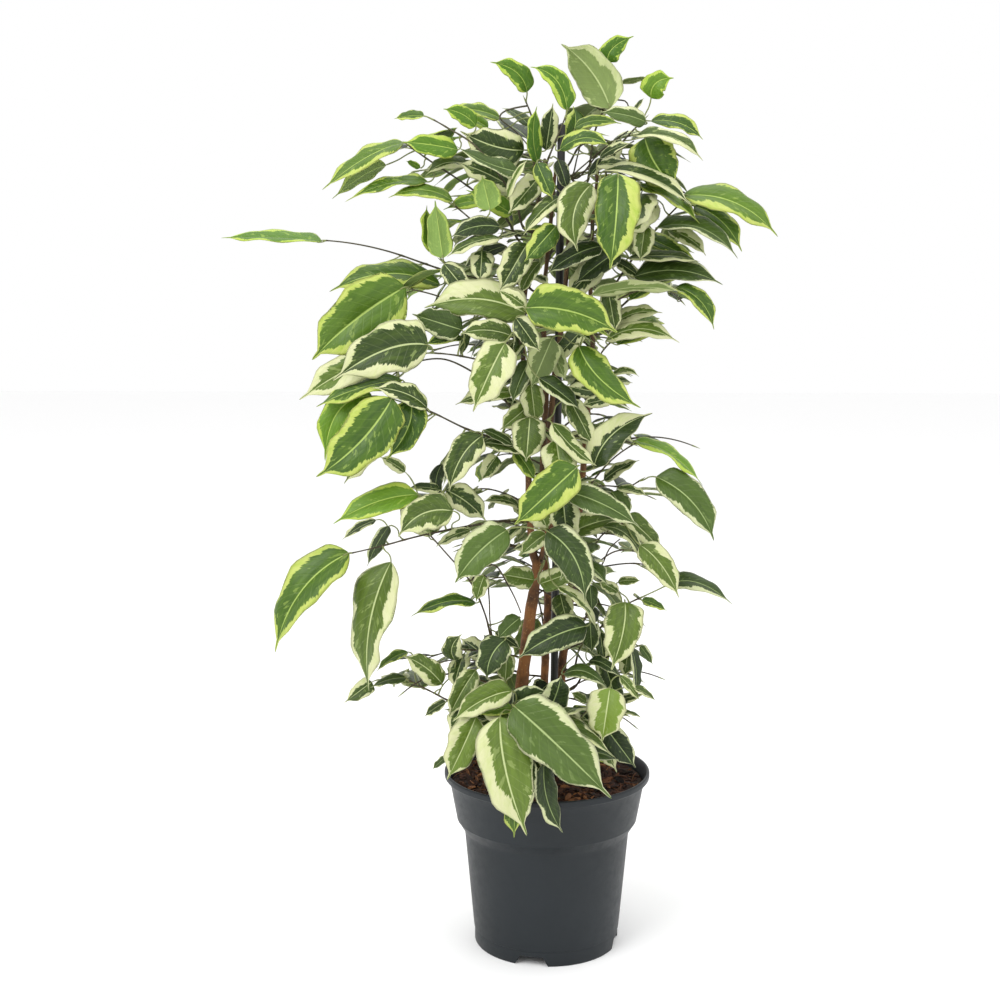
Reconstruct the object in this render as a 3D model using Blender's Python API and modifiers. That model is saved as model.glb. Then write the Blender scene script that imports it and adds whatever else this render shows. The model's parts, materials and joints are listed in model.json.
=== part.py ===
"""A potted variegated weeping fig, about 74 cm tall, in a 17 cm grower's pot.

The plant was read from one photograph. A point of it is given by its picture column and row, counted from the
top left of a picture 1000 pixels wide and high, and by its depth in millimetres behind the pot's axis. The
view below turns that into a place in metres, with +Z up and the photographed front towards -Y.
"""

import math
import random
from dataclasses import dataclass

import bmesh
import bpy
from mathutils import Matrix, Vector
from mathutils.bvhtree import BVHTree

MM = 0.001

# Pot, turned about the Z axis: radius and height in millimetres
POT_HEIGHT = 147.0
RIM_RADIUS = 85.0
LIP_DEPTH = 5.4
BAND_TOP_RADIUS = 82.3
BAND_FOOT_RADIUS = 74.8
BAND_FOOT_HEIGHT = 107.0
STEP_FOOT_HEIGHT = 97.0
BODY_TOP_RADIUS = 68.3
BODY_FOOT_RADIUS = 60.6
FOOT_CREASE_HEIGHT = 12.0
FOOT_RADIUS = 60.0
POT_WALL = 1.7
FLOOR_UNDERSIDE = 8.2
FLOOR_TOP = 10.0
TURNED_STEPS = 30
FOOT_NOTCHES = 4
NOTCH_WIDE = 30.0
NOTCH_NARROW = 18.6
NOTCH_ANGLE = math.radians(-11.6)
DRAIN_HOLES = 6
DRAIN_RADIUS = 4.5
DRAIN_CIRCLE = 38.0

# Soil
SOIL_TOP = 138.5
SOIL_LUMP = 1.8
GAP = 0.3

# Stems and cane
CANE_RADIUS = 3.2
CANE_FOOT = 30.0
STEM_FOOT = 96.0
STRAIGHT_TOP = 145.0

# View of the photograph
EYE_DISTANCE = 1.260
EYE_HEIGHT = 0.556
EYE_PITCH = math.radians(8.3)
EYE_YAW = math.radians(1.77)
PICTURE_MIDDLE = 500
FOCAL_PIXELS = 1570

# Leaves, in millimetres or as a share of a leaf's length
LEAF_WIDTH_SHARE = 0.46
WIDEST_SHARE = 0.62
LEAF_THICKNESS = 1.4
PETIOLE_RADIUS = 0.75
TWIG_ROOT_RADIUS = 1.35
TWIG_TIP_RADIUS = 0.9
CLEARANCE = 0.5
PROBE = 12.0
ROOT_DEPTH = 2.4
ROOT_SPACING = 2.8
LONG_PETIOLE = 42.0
LARGE_STATIONS = (0.13, 0.4, 0.7, 0.88)
PLAIN_STATIONS = (0.2, 0.55, 0.84)
SMALL_STATIONS = (0.28, 0.74)
LARGE_LENGTH = 58.0
SMALL_LENGTH = 36.0
SLIVER_REACHES = (0.03, 0.02, 0.015, 0.01, 0.006)

# Sprays and leaves of the far side, which the photograph hides
FAR_SPRAYS = 16
FAR_LOWEST = 0.21
FAR_HIGHEST = 0.655
FAR_SPREAD = math.radians(112)
GOLDEN_ANGLE = math.radians(137.5)
HIDDEN_LEAVES = 92
HIDDEN_SHARE = 0.4
LEAF_SPACING = 15.0

# The plant's outline in the picture, and the open places within it as middle column and row, half width and half
# height. What the picture doesn't show stays behind the one and out of the others.
PLANT_OUTLINE = (
    (500, 112), (455, 104), (425, 122), (402, 140), (350, 172), (335, 195), (400, 188), (430, 205), (425, 235),
    (445, 255), (435, 268), (350, 272), (328, 300), (330, 350), (318, 385), (322, 470), (385, 455), (415, 430),
    (425, 408), (470, 425), (445, 440), (440, 480), (400, 488), (345, 515), (400, 540), (450, 530), (452, 580),
    (480, 580), (500, 560), (525, 545), (520, 640), (480, 640), (475, 665), (450, 670), (405, 655), (350, 695),
    (440, 720), (448, 760), (640, 765), (625, 720), (655, 700), (640, 650), (645, 605), (680, 600), (665, 560),
    (640, 530), (700, 520), (660, 480), (620, 480), (640, 445), (645, 415), (600, 415), (575, 400), (640, 405),
    (605, 345), (675, 340), (660, 325), (710, 325), (690, 290), (720, 282), (640, 262), (740, 255), (775, 235),
    (690, 185), (700, 160), (695, 125), (640, 105), (600, 100), (520, 95),
)
OPEN_PLACES = (
    (437, 381, 33, 19), (467, 419, 38, 11), (500, 485, 20, 15), (510, 545, 12, 12), (499, 607, 21, 27),
    (574, 368, 8, 12), (607, 560, 8, 15), (610, 610, 6, 6), (575, 655, 7, 7), (640, 586, 24, 10), (648, 500, 18, 18),
    (397, 160, 16, 10), (652, 306, 30, 9), (596, 424, 12, 10),
)


@dataclass(frozen=True)
class Stem:
    """A woody stem: its foot comes first, then points of column, row, depth and radius."""

    name: str
    lines: tuple


@dataclass(frozen=True)
class Spray:
    """A twig that leaves a stem at a picture row and runs through points of column, row and depth."""

    name: str
    stem: str
    row: float
    route: tuple


@dataclass(frozen=True)
class Leaf:
    """A leaf as the photograph shows it: picture places, depth in millimetres and apparent width in pixels.

    The middle of a leaf that bends is at via. Lean is how much deeper the tip is than the base. Under means that
    the underside shows.
    """

    base: tuple
    tip: tuple
    depth: float
    wide: float
    lean: float = -8.0
    via: tuple = ()
    under: bool = False
    flip: bool = False


STEMS = (
    Stem(
        "stem_main",
        (
            (
                (512, 774, -14, 5.4), (517, 728, -14, 5.1), (522, 683, -13, 5.2), (527, 640, -12, 5.1),
                (532, 600, -11, 4.9), (534, 570, -11, 4.0), (531, 535, -12, 3.0), (529, 490, -14, 2.7),
                (527, 440, -14, 2.4), (524, 380, -12, 2.2), (522, 320, -8, 2.0), (529, 260, -6, 1.7),
                (538, 205, -4, 1.5), (545, 158, -2, 1.2),
            ),
            (
                (533, 592, -10, 3.2), (543, 556, -13, 3.1), (551, 520, -15, 3.0), (549, 480, -14, 2.8),
                (550, 430, -13, 2.6), (554, 380, -12, 2.4), (561, 330, -11, 2.1), (566, 280, -9, 1.9),
                (569, 230, -7, 1.7), (571, 186, -5, 1.5),
            ),
        ),
    ),
    Stem(
        "stem_right",
        (
            (
                (560, 774, 12, 4.2), (559, 715, 12, 3.9), (562, 664, 11, 3.7), (570, 600, 12, 3.2),
                (578, 530, 12, 2.9), (584, 460, 12, 2.6), (589, 395, 12, 2.3), (593, 340, 11, 2.0),
                (590, 280, 10, 1.8), (593, 215, 8, 1.5), (598, 170, 6, 1.2),
            ),
        ),
    ),
    Stem(
        "stem_back",
        (
            (
                (548, 766, 34, 4.0), (544, 690, 36, 3.6), (548, 600, 38, 3.2), (541, 500, 38, 2.8),
                (546, 400, 36, 2.4), (543, 300, 32, 2.0), (551, 220, 26, 1.6), (556, 165, 20, 1.2),
            ),
        ),
    ),
)

CANE = ((553, 771, -1), (561.5, 124, 6))

SPRAYS = (
    Spray("spray_crown_left_high", "stem_main", 232, ((512, 196, -22), (482, 152, -30), (456, 133, -26), (434, 120, -20))),
    Spray("spray_crown_left", "stem_main", 246, ((500, 212, 6), (462, 182, 12), (436, 165, 8), (408, 145, 0))),
    Spray("spray_crown_top_left", "stem_main", 172, ((537, 140, 4), (530, 118, 2), (526, 102, -4))),
    Spray("spray_crown_top_middle", "stem_main", 200, ((546, 165, -22), (556, 140, -26), (565, 118, -20))),
    Spray("spray_left_shoulder", "stem_main", 276, ((497, 243, -14), (474, 222, -18), (454, 205, -16))),
    Spray("spray_left_hanging", "stem_main", 300, ((490, 282, -22), (462, 274, -28), (443, 262, -24))),
    Spray("spray_far_left_leaf", "stem_main", 312, ((470, 282, 16), (420, 262, 24), (372, 247, 22), (325, 240, 14))),
    Spray("spray_left_upper", "stem_main", 338, ((480, 314, -24), (444, 298, -30), (410, 289, -30))),
    Spray("spray_left_middle", "stem_main", 374, ((486, 362, -30), (458, 357, -44), (434, 353, -52))),
    Spray("spray_left_cluster", "stem_main", 452, ((504, 443, -22), (478, 433, -38), (452, 423, -48), (428, 410, -54), (402, 399, -58))),
    Spray("spray_left_reaching", "stem_main", 520, ((500, 521, -26), (465, 527, -38), (427, 534, -46), (390, 544, -52), (352, 553, -54))),
    Spray("spray_left_thin", "stem_main", 708, ((498, 668, -34), (490, 634, -40), (477, 592, -42), (452, 560, -44), (428, 533, -52))),
    Spray("spray_low_left", "stem_main", 722, ((486, 712, -30), (456, 704, -40), (430, 691, -42), (408, 680, -42))),
    Spray("spray_base_front", "stem_main", 738, ((516, 722, -48), (515, 706, -78))),
    Spray("spray_base_rim", "stem_main", 752, ((524, 748, -52), (532, 752, -82))),
    Spray("spray_base_left", "stem_main", 760, ((492, 744, -36), (476, 722, -62))),
    Spray("spray_base_right", "stem_right", 750, ((578, 722, -12), (594, 704, -42), (606, 692, -56))),
    Spray("spray_low_right", "stem_right", 668, ((580, 648, -10), (600, 628, -28), (622, 607, -40), (640, 598, -38))),
    Spray("spray_low_right_back", "stem_right", 688, ((584, 668, 6), (604, 660, 6), (626, 650, -2), (638, 646, -8))),
    Spray("spray_low_middle", "stem_right", 640, ((580, 628, -20), (588, 600, -34), (572, 586, -40))),
    Spray("spray_right_lower", "stem_right", 560, ((592, 548, -18), (606, 532, -38), (624, 522, -46))),
    Spray("spray_right_twig", "stem_right", 524, ((598, 508, -4), (620, 494, -16), (640, 480, -24))),
    Spray("spray_right_middle", "stem_right", 500, ((590, 486, -12), (604, 466, -28), (622, 452, -26), (636, 443, -22))),
    Spray("spray_centre_lower", "stem_main", 560, ((546, 545, -38), (548, 528, -66))),
    Spray("spray_centre_bright", "stem_main", 470, ((562, 470, -44), (578, 466, -70))),
    Spray("spray_centre", "stem_main", 432, ((538, 424, -36), (548, 420, -50))),
    Spray("spray_right_arching", "stem_right", 392, ((596, 368, -4), (602, 352, -12), (610, 342, -14))),
    Spray("spray_right_front", "stem_right", 372, ((584, 352, -28), (579, 344, -50))),
    Spray("spray_front_middle", "stem_main", 356, ((520, 338, -32), (527, 312, -60))),
    Spray("spray_centre_upper", "stem_main", 276, ((538, 250, -30), (550, 230, -44))),
    Spray("spray_right_upper", "stem_right", 318, ((612, 290, -4), (640, 250, -6), (662, 222, -12), (684, 200, -16))),
    Spray("spray_right_drooping", "stem_right", 330, ((610, 306, -14), (634, 292, -22), (668, 288, -24))),
    Spray("spray_front_upper", "stem_right", 232, ((596, 204, -24), (604, 178, -46))),
    Spray("spray_crown_right", "stem_right", 198, ((608, 160, 0), (626, 138, -6), (644, 120, -8))),
    Spray("spray_crown_top_right", "stem_main", 196, ((582, 156, 4), (596, 128, 6), (605, 106, 8), (610, 84, 16))),
)

LEAVES = (
    # Crown, left of the cane
    Leaf(base=(527, 92), tip=(490, 62), via=(516, 72), depth=-8, wide=24),
    Leaf(base=(567, 110), tip=(530, 67), via=(556, 80), depth=-20, wide=24, lean=-4),
    Leaf(base=(538, 163), tip=(537, 106), via=(533, 135), depth=-16, wide=16),
    Leaf(base=(546, 150), tip=(553, 103), depth=6, wide=22),
    Leaf(base=(530, 126), tip=(502, 108), depth=14, wide=10, lean=10),
    Leaf(base=(566, 148), tip=(573, 106), via=(575, 126), depth=12, wide=26, lean=14),
    Leaf(base=(524, 150), tip=(460, 131), via=(494, 146), depth=-16, wide=40),
    Leaf(base=(519, 172), tip=(456, 146), via=(487, 163), depth=-36, wide=18),
    Leaf(base=(500, 118), tip=(449, 109), depth=4, wide=15),
    Leaf(base=(476, 126), tip=(443, 109), via=(462, 114), depth=-8, wide=20),
    Leaf(base=(488, 128), tip=(455, 113), depth=14, wide=14, lean=6),
    Leaf(base=(458, 150), tip=(402, 142), depth=-20, wide=24),
    Leaf(base=(404, 143), tip=(322, 190), via=(366, 158), depth=-4, wide=18),
    Leaf(base=(386, 165), tip=(332, 199), via=(362, 176), depth=2, wide=18, under=True),
    Leaf(base=(428, 182), tip=(345, 202), via=(388, 184), depth=-14, wide=13),
    Leaf(base=(453, 201), tip=(388, 198), via=(422, 190), depth=-22, wide=15),
    Leaf(base=(470, 166), tip=(425, 176), via=(446, 163), depth=6, wide=15),
    Leaf(base=(512, 188), tip=(456, 162), depth=-4, wide=26),
    Leaf(base=(443, 258), tip=(435, 200), via=(439, 232), depth=-26, wide=28, under=True),
    Leaf(base=(436, 252), tip=(427, 205), via=(428, 230), depth=-12, wide=16),
    Leaf(base=(490, 210), tip=(482, 176), depth=-34, wide=30, under=True),
    Leaf(base=(508, 197), tip=(528, 159), depth=-42, wide=9),
    Leaf(base=(537, 163), tip=(553, 200), depth=-38, wide=20),
    Leaf(base=(500, 203), tip=(443, 210), depth=-4, wide=16),
    Leaf(base=(512, 214), tip=(466, 190), depth=4, wide=22),
    Leaf(base=(558, 160), tip=(568, 192), depth=-10, wide=16),
    # Crown, right of the cane
    Leaf(base=(610, 108), tip=(561, 44), via=(591, 71), depth=0, wide=46, lean=-12, under=True),
    Leaf(base=(608, 62), tip=(634, 36), via=(613, 48), depth=18, wide=24, lean=0),
    Leaf(base=(651, 98), tip=(674, 78), via=(656, 83), depth=-8, wide=30),
    Leaf(base=(646, 122), tip=(600, 112), via=(625, 115), depth=-24, wide=20),
    Leaf(base=(651, 121), tip=(703, 140), via=(681, 124), depth=-8, wide=17),
    Leaf(base=(636, 136), tip=(703, 161), via=(673, 138), depth=-26, wide=14),
    Leaf(base=(645, 138), tip=(678, 190), via=(656, 165), depth=-10, wide=52),
    Leaf(base=(604, 171), tip=(692, 206), via=(650, 178), depth=-26, wide=16),
    Leaf(base=(640, 185), tip=(700, 224), depth=-14, wide=14),
    Leaf(base=(560, 150), tip=(611, 147), via=(585, 138), depth=-42, wide=18),
    Leaf(base=(618, 174), tip=(610, 270), via=(616, 219), depth=-60, wide=50, lean=-14),
    Leaf(base=(592, 184), tip=(578, 252), via=(574, 213), depth=-50, wide=40, lean=-10),
    Leaf(base=(575, 128), tip=(622, 124), via=(595, 121), depth=0, wide=14),
    Leaf(base=(596, 165), tip=(640, 168), depth=4, wide=14),
    Leaf(base=(600, 158), tip=(632, 143), depth=-22, wide=10),
    Leaf(base=(683, 196), tip=(778, 237), via=(735, 203), depth=-20, wide=28),
    Leaf(base=(694, 206), tip=(742, 252), via=(722, 222), depth=-4, wide=24),
    Leaf(base=(657, 228), tip=(738, 259), via=(702, 229), depth=-20, wide=19),
    Leaf(base=(668, 230), tip=(706, 256), via=(691, 240), depth=-2, wide=17),
    Leaf(base=(642, 236), tip=(700, 264), via=(668, 247), depth=6, wide=16),
    Leaf(base=(634, 277), tip=(723, 285), via=(680, 271), depth=-14, wide=26),
    Leaf(base=(628, 258), tip=(700, 262), via=(668, 256), depth=-2, wide=12),
    Leaf(base=(592, 295), tip=(686, 293), via=(640, 287), depth=-32, wide=15, under=True),
    Leaf(base=(676, 287), tip=(714, 330), via=(701, 302), depth=-24, wide=20),
    Leaf(base=(613, 325), tip=(663, 313), via=(636, 313), depth=2, wide=18),
    Leaf(base=(606, 341), tip=(680, 343), via=(641, 329), depth=-12, wide=20),
    Leaf(base=(645, 226), tip=(640, 262), depth=14, wide=26),
    Leaf(base=(655, 200), tip=(625, 236), depth=10, wide=30),
    Leaf(base=(608, 290), tip=(616, 334), depth=-4, wide=22),
    # Middle of the plant, upper half
    Leaf(base=(556, 226), tip=(524, 262), depth=-50, wide=27),
    Leaf(base=(560, 197), tip=(523, 236), depth=-40, wide=18, lean=-12),
    Leaf(base=(527, 244), tip=(499, 292), depth=-42, wide=34),
    Leaf(base=(602, 246), tip=(546, 275), depth=-34, wide=22),
    Leaf(base=(500, 227), tip=(450, 238), via=(474, 227), depth=-24, wide=22),
    Leaf(base=(500, 238), tip=(447, 257), depth=-34, wide=13),
    Leaf(base=(506, 246), tip=(462, 270), depth=-18, wide=14),
    Leaf(base=(482, 250), tip=(480, 284), depth=-26, wide=27),
    Leaf(base=(444, 264), tip=(474, 300), depth=-32, wide=24),
    Leaf(base=(620, 250), tip=(574, 285), depth=-14, wide=26),
    Leaf(base=(540, 262), tip=(520, 296), depth=-32, wide=16),
    Leaf(base=(538, 178), tip=(508, 214), depth=-24, wide=28),
    Leaf(base=(600, 262), tip=(566, 298), depth=-8, wide=28),
    Leaf(base=(590, 240), tip=(560, 268), depth=-10, wide=28),
    Leaf(base=(526, 308), tip=(618, 333), via=(573, 312), depth=-74, wide=52, lean=-6),
    Leaf(base=(527, 314), tip=(424, 308), via=(477, 299), depth=-72, wide=44, lean=4),
    Leaf(base=(462, 330), tip=(412, 314), depth=-44, wide=32),
    Leaf(base=(505, 343), tip=(473, 412), via=(489, 374), depth=-66, wide=46, lean=-6),
    Leaf(base=(512, 336), tip=(460, 334), via=(486, 330), depth=-52, wide=26),
    Leaf(base=(462, 338), tip=(424, 345), depth=-34, wide=12),
    Leaf(base=(516, 318), tip=(540, 352), depth=-48, wide=24),
    Leaf(base=(552, 338), tip=(531, 388), depth=-40, wide=34, under=True),
    Leaf(base=(550, 343), tip=(566, 381), depth=-32, wide=22, under=True),
    Leaf(base=(579, 346), tip=(641, 408), via=(600, 379), depth=-60, wide=38, lean=-10),
    Leaf(base=(610, 377), tip=(639, 377), via=(626, 371), depth=-20, wide=9),
    Leaf(base=(582, 330), tip=(552, 362), depth=-22, wide=22),
    Leaf(base=(596, 392), tip=(566, 386), depth=-20, wide=18),
    Leaf(base=(612, 398), tip=(580, 405), depth=-20, wide=16),
    # Left group
    Leaf(base=(440, 285), tip=(329, 292), via=(386, 274), depth=14, wide=30),
    Leaf(base=(405, 287), tip=(312, 360), via=(355, 320), depth=-36, wide=66),
    Leaf(base=(428, 345), tip=(332, 381), via=(385, 350), depth=-64, wide=58),
    Leaf(base=(384, 354), tip=(299, 400), via=(345, 371), depth=-44, wide=40),
    Leaf(base=(402, 380), tip=(316, 407), via=(358, 389), depth=-50, wide=20),
    Leaf(base=(392, 398), tip=(316, 477), via=(360, 442), depth=-80, wide=58),
    Leaf(base=(372, 396), tip=(325, 461), via=(338, 412), depth=-56, wide=38),
    Leaf(base=(410, 400), tip=(386, 460), via=(408, 428), depth=-58, wide=38),
    Leaf(base=(427, 408), tip=(372, 388), via=(404, 393), depth=-46, wide=22),
    Leaf(base=(386, 436), tip=(344, 484), depth=-34, wide=24),
    Leaf(base=(322, 242), tip=(221, 238), via=(272, 234.5), depth=14, wide=13, lean=0),
    # Middle left
    Leaf(base=(482, 436), tip=(449, 492), via=(461, 458), depth=-54, wide=34),
    Leaf(base=(442, 464), tip=(440, 500), via=(436, 482), depth=-34, wide=16),
    Leaf(base=(418, 495), tip=(333, 524), via=(377, 502), depth=-64, wide=32),
    Leaf(base=(453, 511), tip=(398, 537), via=(422, 514), depth=-76, wide=40),
    Leaf(base=(446, 490), tip=(486, 521), via=(468, 503), depth=-34, wide=30),
    Leaf(base=(520, 508), tip=(481, 502), via=(503, 500), depth=-14, wide=12),
    Leaf(base=(507, 530), tip=(455, 583), via=(478, 553), depth=-68, wide=44),
    Leaf(base=(476, 603), tip=(410, 617), via=(446, 602), depth=-46, wide=14),
    Leaf(base=(349, 553), tip=(275, 653), via=(301, 592), depth=-56, wide=46),
    Leaf(base=(391, 562), tip=(369, 692), via=(370, 625), depth=-58, wide=46),
    Leaf(base=(389, 526), tip=(367, 567), depth=-40, wide=15),
    Leaf(base=(376, 520), tip=(342, 540), depth=-30, wide=9),
    Leaf(base=(470, 530), tip=(436, 547), depth=-42, wide=14),
    Leaf(base=(513, 392), tip=(455, 405), via=(484, 395), depth=-24, wide=20),
    Leaf(base=(484, 430), tip=(516, 448), depth=-36, wide=11),
    Leaf(base=(482, 443), tip=(530, 456), depth=-28, wide=15),
    Leaf(base=(530, 360), tip=(512, 405), depth=-24, wide=20),
    Leaf(base=(530, 405), tip=(500, 430), depth=-20, wide=24),
    # Middle of the plant, lower half
    Leaf(base=(577, 467), tip=(514, 525), depth=-84, wide=45, lean=-4),
    Leaf(base=(530, 417), tip=(526, 462), depth=-46, wide=38),
    Leaf(base=(531, 384), tip=(536, 426), depth=-30, wide=27),
    Leaf(base=(552, 423), tip=(597, 466), via=(573, 448), depth=-58, wide=20),
    Leaf(base=(539, 378), tip=(580, 410), via=(562, 394), depth=-50, wide=20),
    Leaf(base=(570, 400), tip=(594, 446), depth=-36, wide=24),
    Leaf(base=(556, 440), tip=(564, 492), depth=-52, wide=40),
    Leaf(base=(515, 450), tip=(536, 482), depth=-30, wide=17),
    Leaf(base=(568, 492), tip=(640, 527), via=(604, 505), depth=-74, wide=30),
    Leaf(base=(563, 500), tip=(568, 547), depth=-64, wide=33),
    Leaf(base=(547, 531), tip=(585, 602), via=(575, 559), depth=-78, wide=42),
    Leaf(base=(534, 580), tip=(500, 574), depth=-34, wide=26),
    Leaf(base=(540, 584), tip=(578, 570), depth=-26, wide=26),
    Leaf(base=(538, 508), tip=(548, 530), depth=-34, wide=30),
    Leaf(base=(587, 626), tip=(517, 659), via=(552, 637), depth=-50, wide=36),
    Leaf(base=(558, 587), tip=(597, 631), via=(582, 603), depth=-46, wide=12),
    Leaf(base=(560, 594), tip=(568, 626), depth=-4, wide=24),
    # Right side, lower half
    Leaf(base=(594, 467), tip=(653, 413), via=(613, 434), depth=-44, wide=36, lean=4),
    Leaf(base=(634, 441), tip=(703, 486), via=(671, 455), depth=-24, wide=15),
    Leaf(base=(656, 477), tip=(714, 541), via=(692, 502), depth=-34, wide=38),
    Leaf(base=(604, 480), tip=(640, 460), depth=-8, wide=14),
    Leaf(base=(612, 492), tip=(630, 518), depth=-20, wide=26),
    Leaf(base=(618, 488), tip=(648, 496), depth=-24, wide=10),
    Leaf(base=(602, 527), tip=(646, 568), via=(628, 536), depth=-50, wide=15),
    Leaf(base=(624, 516), tip=(664, 553), via=(643, 531), depth=-40, wide=24),
    Leaf(base=(640, 545), tip=(679, 598), via=(662, 566), depth=-60, wide=30),
    Leaf(base=(668, 585), tip=(733, 605), via=(698, 583), depth=-38, wide=20),
    Leaf(base=(625, 602), tip=(611, 671), via=(623, 632), depth=-58, wide=44),
    Leaf(base=(632, 648), tip=(636, 694), depth=-20, wide=12),
    Leaf(base=(589, 661), tip=(622, 679), via=(604, 664), depth=-34, wide=13),
    Leaf(base=(564, 674), tip=(609, 690), via=(586, 672), depth=-46, wide=17),
    Leaf(base=(628, 652), tip=(624, 677), depth=-10, wide=20),
    # Foot of the plant
    Leaf(base=(610, 688), tip=(602, 742), depth=-66, wide=43),
    Leaf(base=(603, 724), tip=(636, 768), depth=-50, wide=28),
    Leaf(base=(583, 720), tip=(617, 773), depth=-38, wide=24),
    Leaf(base=(514, 706), tip=(612, 799), via=(556, 744), depth=-96, wide=64, lean=-4),
    Leaf(base=(500, 717), tip=(527, 836), via=(506, 772), depth=-100, wide=60, lean=-10),
    Leaf(base=(476, 717), tip=(447, 780), via=(463, 747), depth=-76, wide=38),
    Leaf(base=(508, 770), tip=(514, 838), depth=-90, wide=28, lean=-6),
    Leaf(base=(530, 756), tip=(522, 828), depth=-94, wide=26, lean=-6),
    Leaf(base=(544, 764), tip=(563, 833), via=(547, 800), depth=-90, wide=26, lean=-8),
    Leaf(base=(512, 707), tip=(479, 715), depth=-70, wide=15),
    Leaf(base=(512, 691), tip=(452, 722), via=(483, 700), depth=-74, wide=32),
    Leaf(base=(514, 702), tip=(548, 690), depth=-80, wide=25),
    Leaf(base=(550, 708), tip=(561, 675), via=(557, 692), depth=-74, wide=30),
    Leaf(base=(476, 670), tip=(449, 717), via=(461, 693), depth=-56, wide=25),
    Leaf(base=(505, 640), tip=(487, 680), via=(491, 657), depth=-58, wide=36),
    Leaf(base=(406, 678), tip=(370, 688), via=(388, 680), depth=-44, wide=12),
    Leaf(base=(372, 682), tip=(344, 703), via=(361, 690), depth=-46, wide=20),
    Leaf(base=(408, 652), tip=(376, 672), via=(391, 659), depth=-40, wide=11),
    Leaf(base=(442, 684), tip=(403, 656), via=(425, 667), depth=-50, wide=26),
    Leaf(base=(455, 660), tip=(462, 634), via=(452, 647), depth=-40, wide=24),
    Leaf(base=(507, 654), tip=(505, 684), depth=-30, wide=21),
    Leaf(base=(586, 702), tip=(570, 692), depth=-30, wide=10),
    Leaf(base=(578, 720), tip=(563, 706), depth=-24, wide=14),
)


def view_frame():
    """The eye, and the view's forward, right and up directions."""
    eye = Vector((0.0, -EYE_DISTANCE, EYE_HEIGHT))
    forward = Vector((
        -math.sin(EYE_YAW) * math.cos(EYE_PITCH),
        math.cos(EYE_YAW) * math.cos(EYE_PITCH),
        -math.sin(EYE_PITCH),
    ))
    right = Vector((math.cos(EYE_YAW), math.sin(EYE_YAW), 0.0))
    return eye, forward, right, right.cross(forward)


EYE, FORWARD, RIGHT, UP = view_frame()


def seen(column, row, depth):
    """The point that the picture shows at a column and row, at a depth in millimetres behind the pot's axis."""
    ray = FORWARD * FOCAL_PIXELS + RIGHT * (column - PICTURE_MIDDLE) + UP * (PICTURE_MIDDLE - row)
    return EYE + ray * ((depth * MM - EYE.y) / ray.y)


def picture_place(point):
    """The picture column and row at which a point shows."""
    ray = point - EYE
    scale = FOCAL_PIXELS / ray.dot(FORWARD)
    return PICTURE_MIDDLE + ray.dot(RIGHT) * scale, PICTURE_MIDDLE - ray.dot(UP) * scale


def within_plant(point):
    """Whether a point shows inside the plant's outline and clear of the open places in it."""
    column, row = picture_place(point)
    for middle_column, middle_row, half_width, half_height in OPEN_PLACES:
        if ((column - middle_column) / half_width) ** 2 + ((row - middle_row) / half_height) ** 2 < 1.0:
            return False
    inside = False
    for low, high in zip(PLANT_OUTLINE, PLANT_OUTLINE[1:] + PLANT_OUTLINE[:1]):
        if (low[1] > row) != (high[1] > row):
            crossing = low[0] + (high[0] - low[0]) * (row - low[1]) / (high[1] - low[1])
            inside = inside != (column < crossing)
    return inside


def metres_per_pixel(point):
    """How much one pixel spans at a point."""
    return (point - EYE).dot(FORWARD) / FOCAL_PIXELS


def smooth_line(points, count):
    """Points spread evenly in number along a smooth curve through the given ones."""
    ends = [points[0] * 2 - points[1], *points, points[-1] * 2 - points[-2]]
    spans = len(points) - 1
    line = []
    for index in range(count + 1):
        place = min(index * spans / count, spans - 1e-6)
        start = int(place)
        t = place - start
        a, b, c, d = ends[start:start + 4]
        line.append(
            (b * 2 + (c - a) * t + (a * 2 - b * 5 + c * 4 - d) * t * t + (b * 3 - a - c * 3 + d) * t * t * t) / 2
        )
    return line


# Leaf form


@dataclass(frozen=True)
class Blade:
    """One leaf blade in space: its ends, the way its top faces, its width and its bends."""

    base: Vector
    tip: Vector
    face: Vector
    width: float
    bow: Vector
    fold: float
    wave: float
    phase: float
    twist: float


def half_width_share(t):
    """How wide the blade is at a share t of its length: rounded base, widest below the middle, long drip tip."""
    body = math.sin(math.pi * min(1.0, t / 0.93) ** 0.74) ** 0.86 if t < 0.93 else 0.0
    return max(body * (1.0 - 0.16 * t), 0.075 * (1.0 - t) / 0.13 if t > 0.87 else 0.0)


def blade_point(blade, t, across, lift=0.0):
    """A point of the blade at a share t of its length and from -1 to 1 across it, lifted off its middle surface."""
    length = (blade.tip - blade.base).length
    along = (blade.tip - blade.base) / length
    side = along.cross(blade.face)
    centre = blade.base + along * (length * t) + blade.bow * (4.0 * t * (1.0 - t))
    heading = (along * length + blade.bow * (4.0 - 8.0 * t)).normalized()
    side = (side - heading * side.dot(heading)).normalized()
    side = Matrix.Rotation(blade.twist * (t - 0.3), 3, heading) @ side
    normal = side.cross(heading)
    half = 0.5 * blade.width * half_width_share(t) * across
    ripple = blade.wave * length * math.sin(2.0 * math.pi * (1.6 * t + blade.phase) + 1.3 * across)
    rise = abs(half) * math.sin(blade.fold) + ripple * across * across * half_width_share(t)
    return centre + side * (half * math.cos(blade.fold)) + normal * (rise + lift)


def blade_rings(blade, stations, grow=0.0):
    """Rings of four points along the blade: one edge, the midrib's top, the other edge and its underside."""
    rings = []
    edge = 1.0 + 2.0 * grow / blade.width
    for t in stations:
        lift = LEAF_THICKNESS * MM * (0.5 if t < 0.8 else 0.4) + grow
        rings.append((
            blade_point(blade, t, -edge),
            blade_point(blade, t, 0.0, lift),
            blade_point(blade, t, edge),
            blade_point(blade, t, 0.0, -lift),
        ))
    return rings


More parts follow.
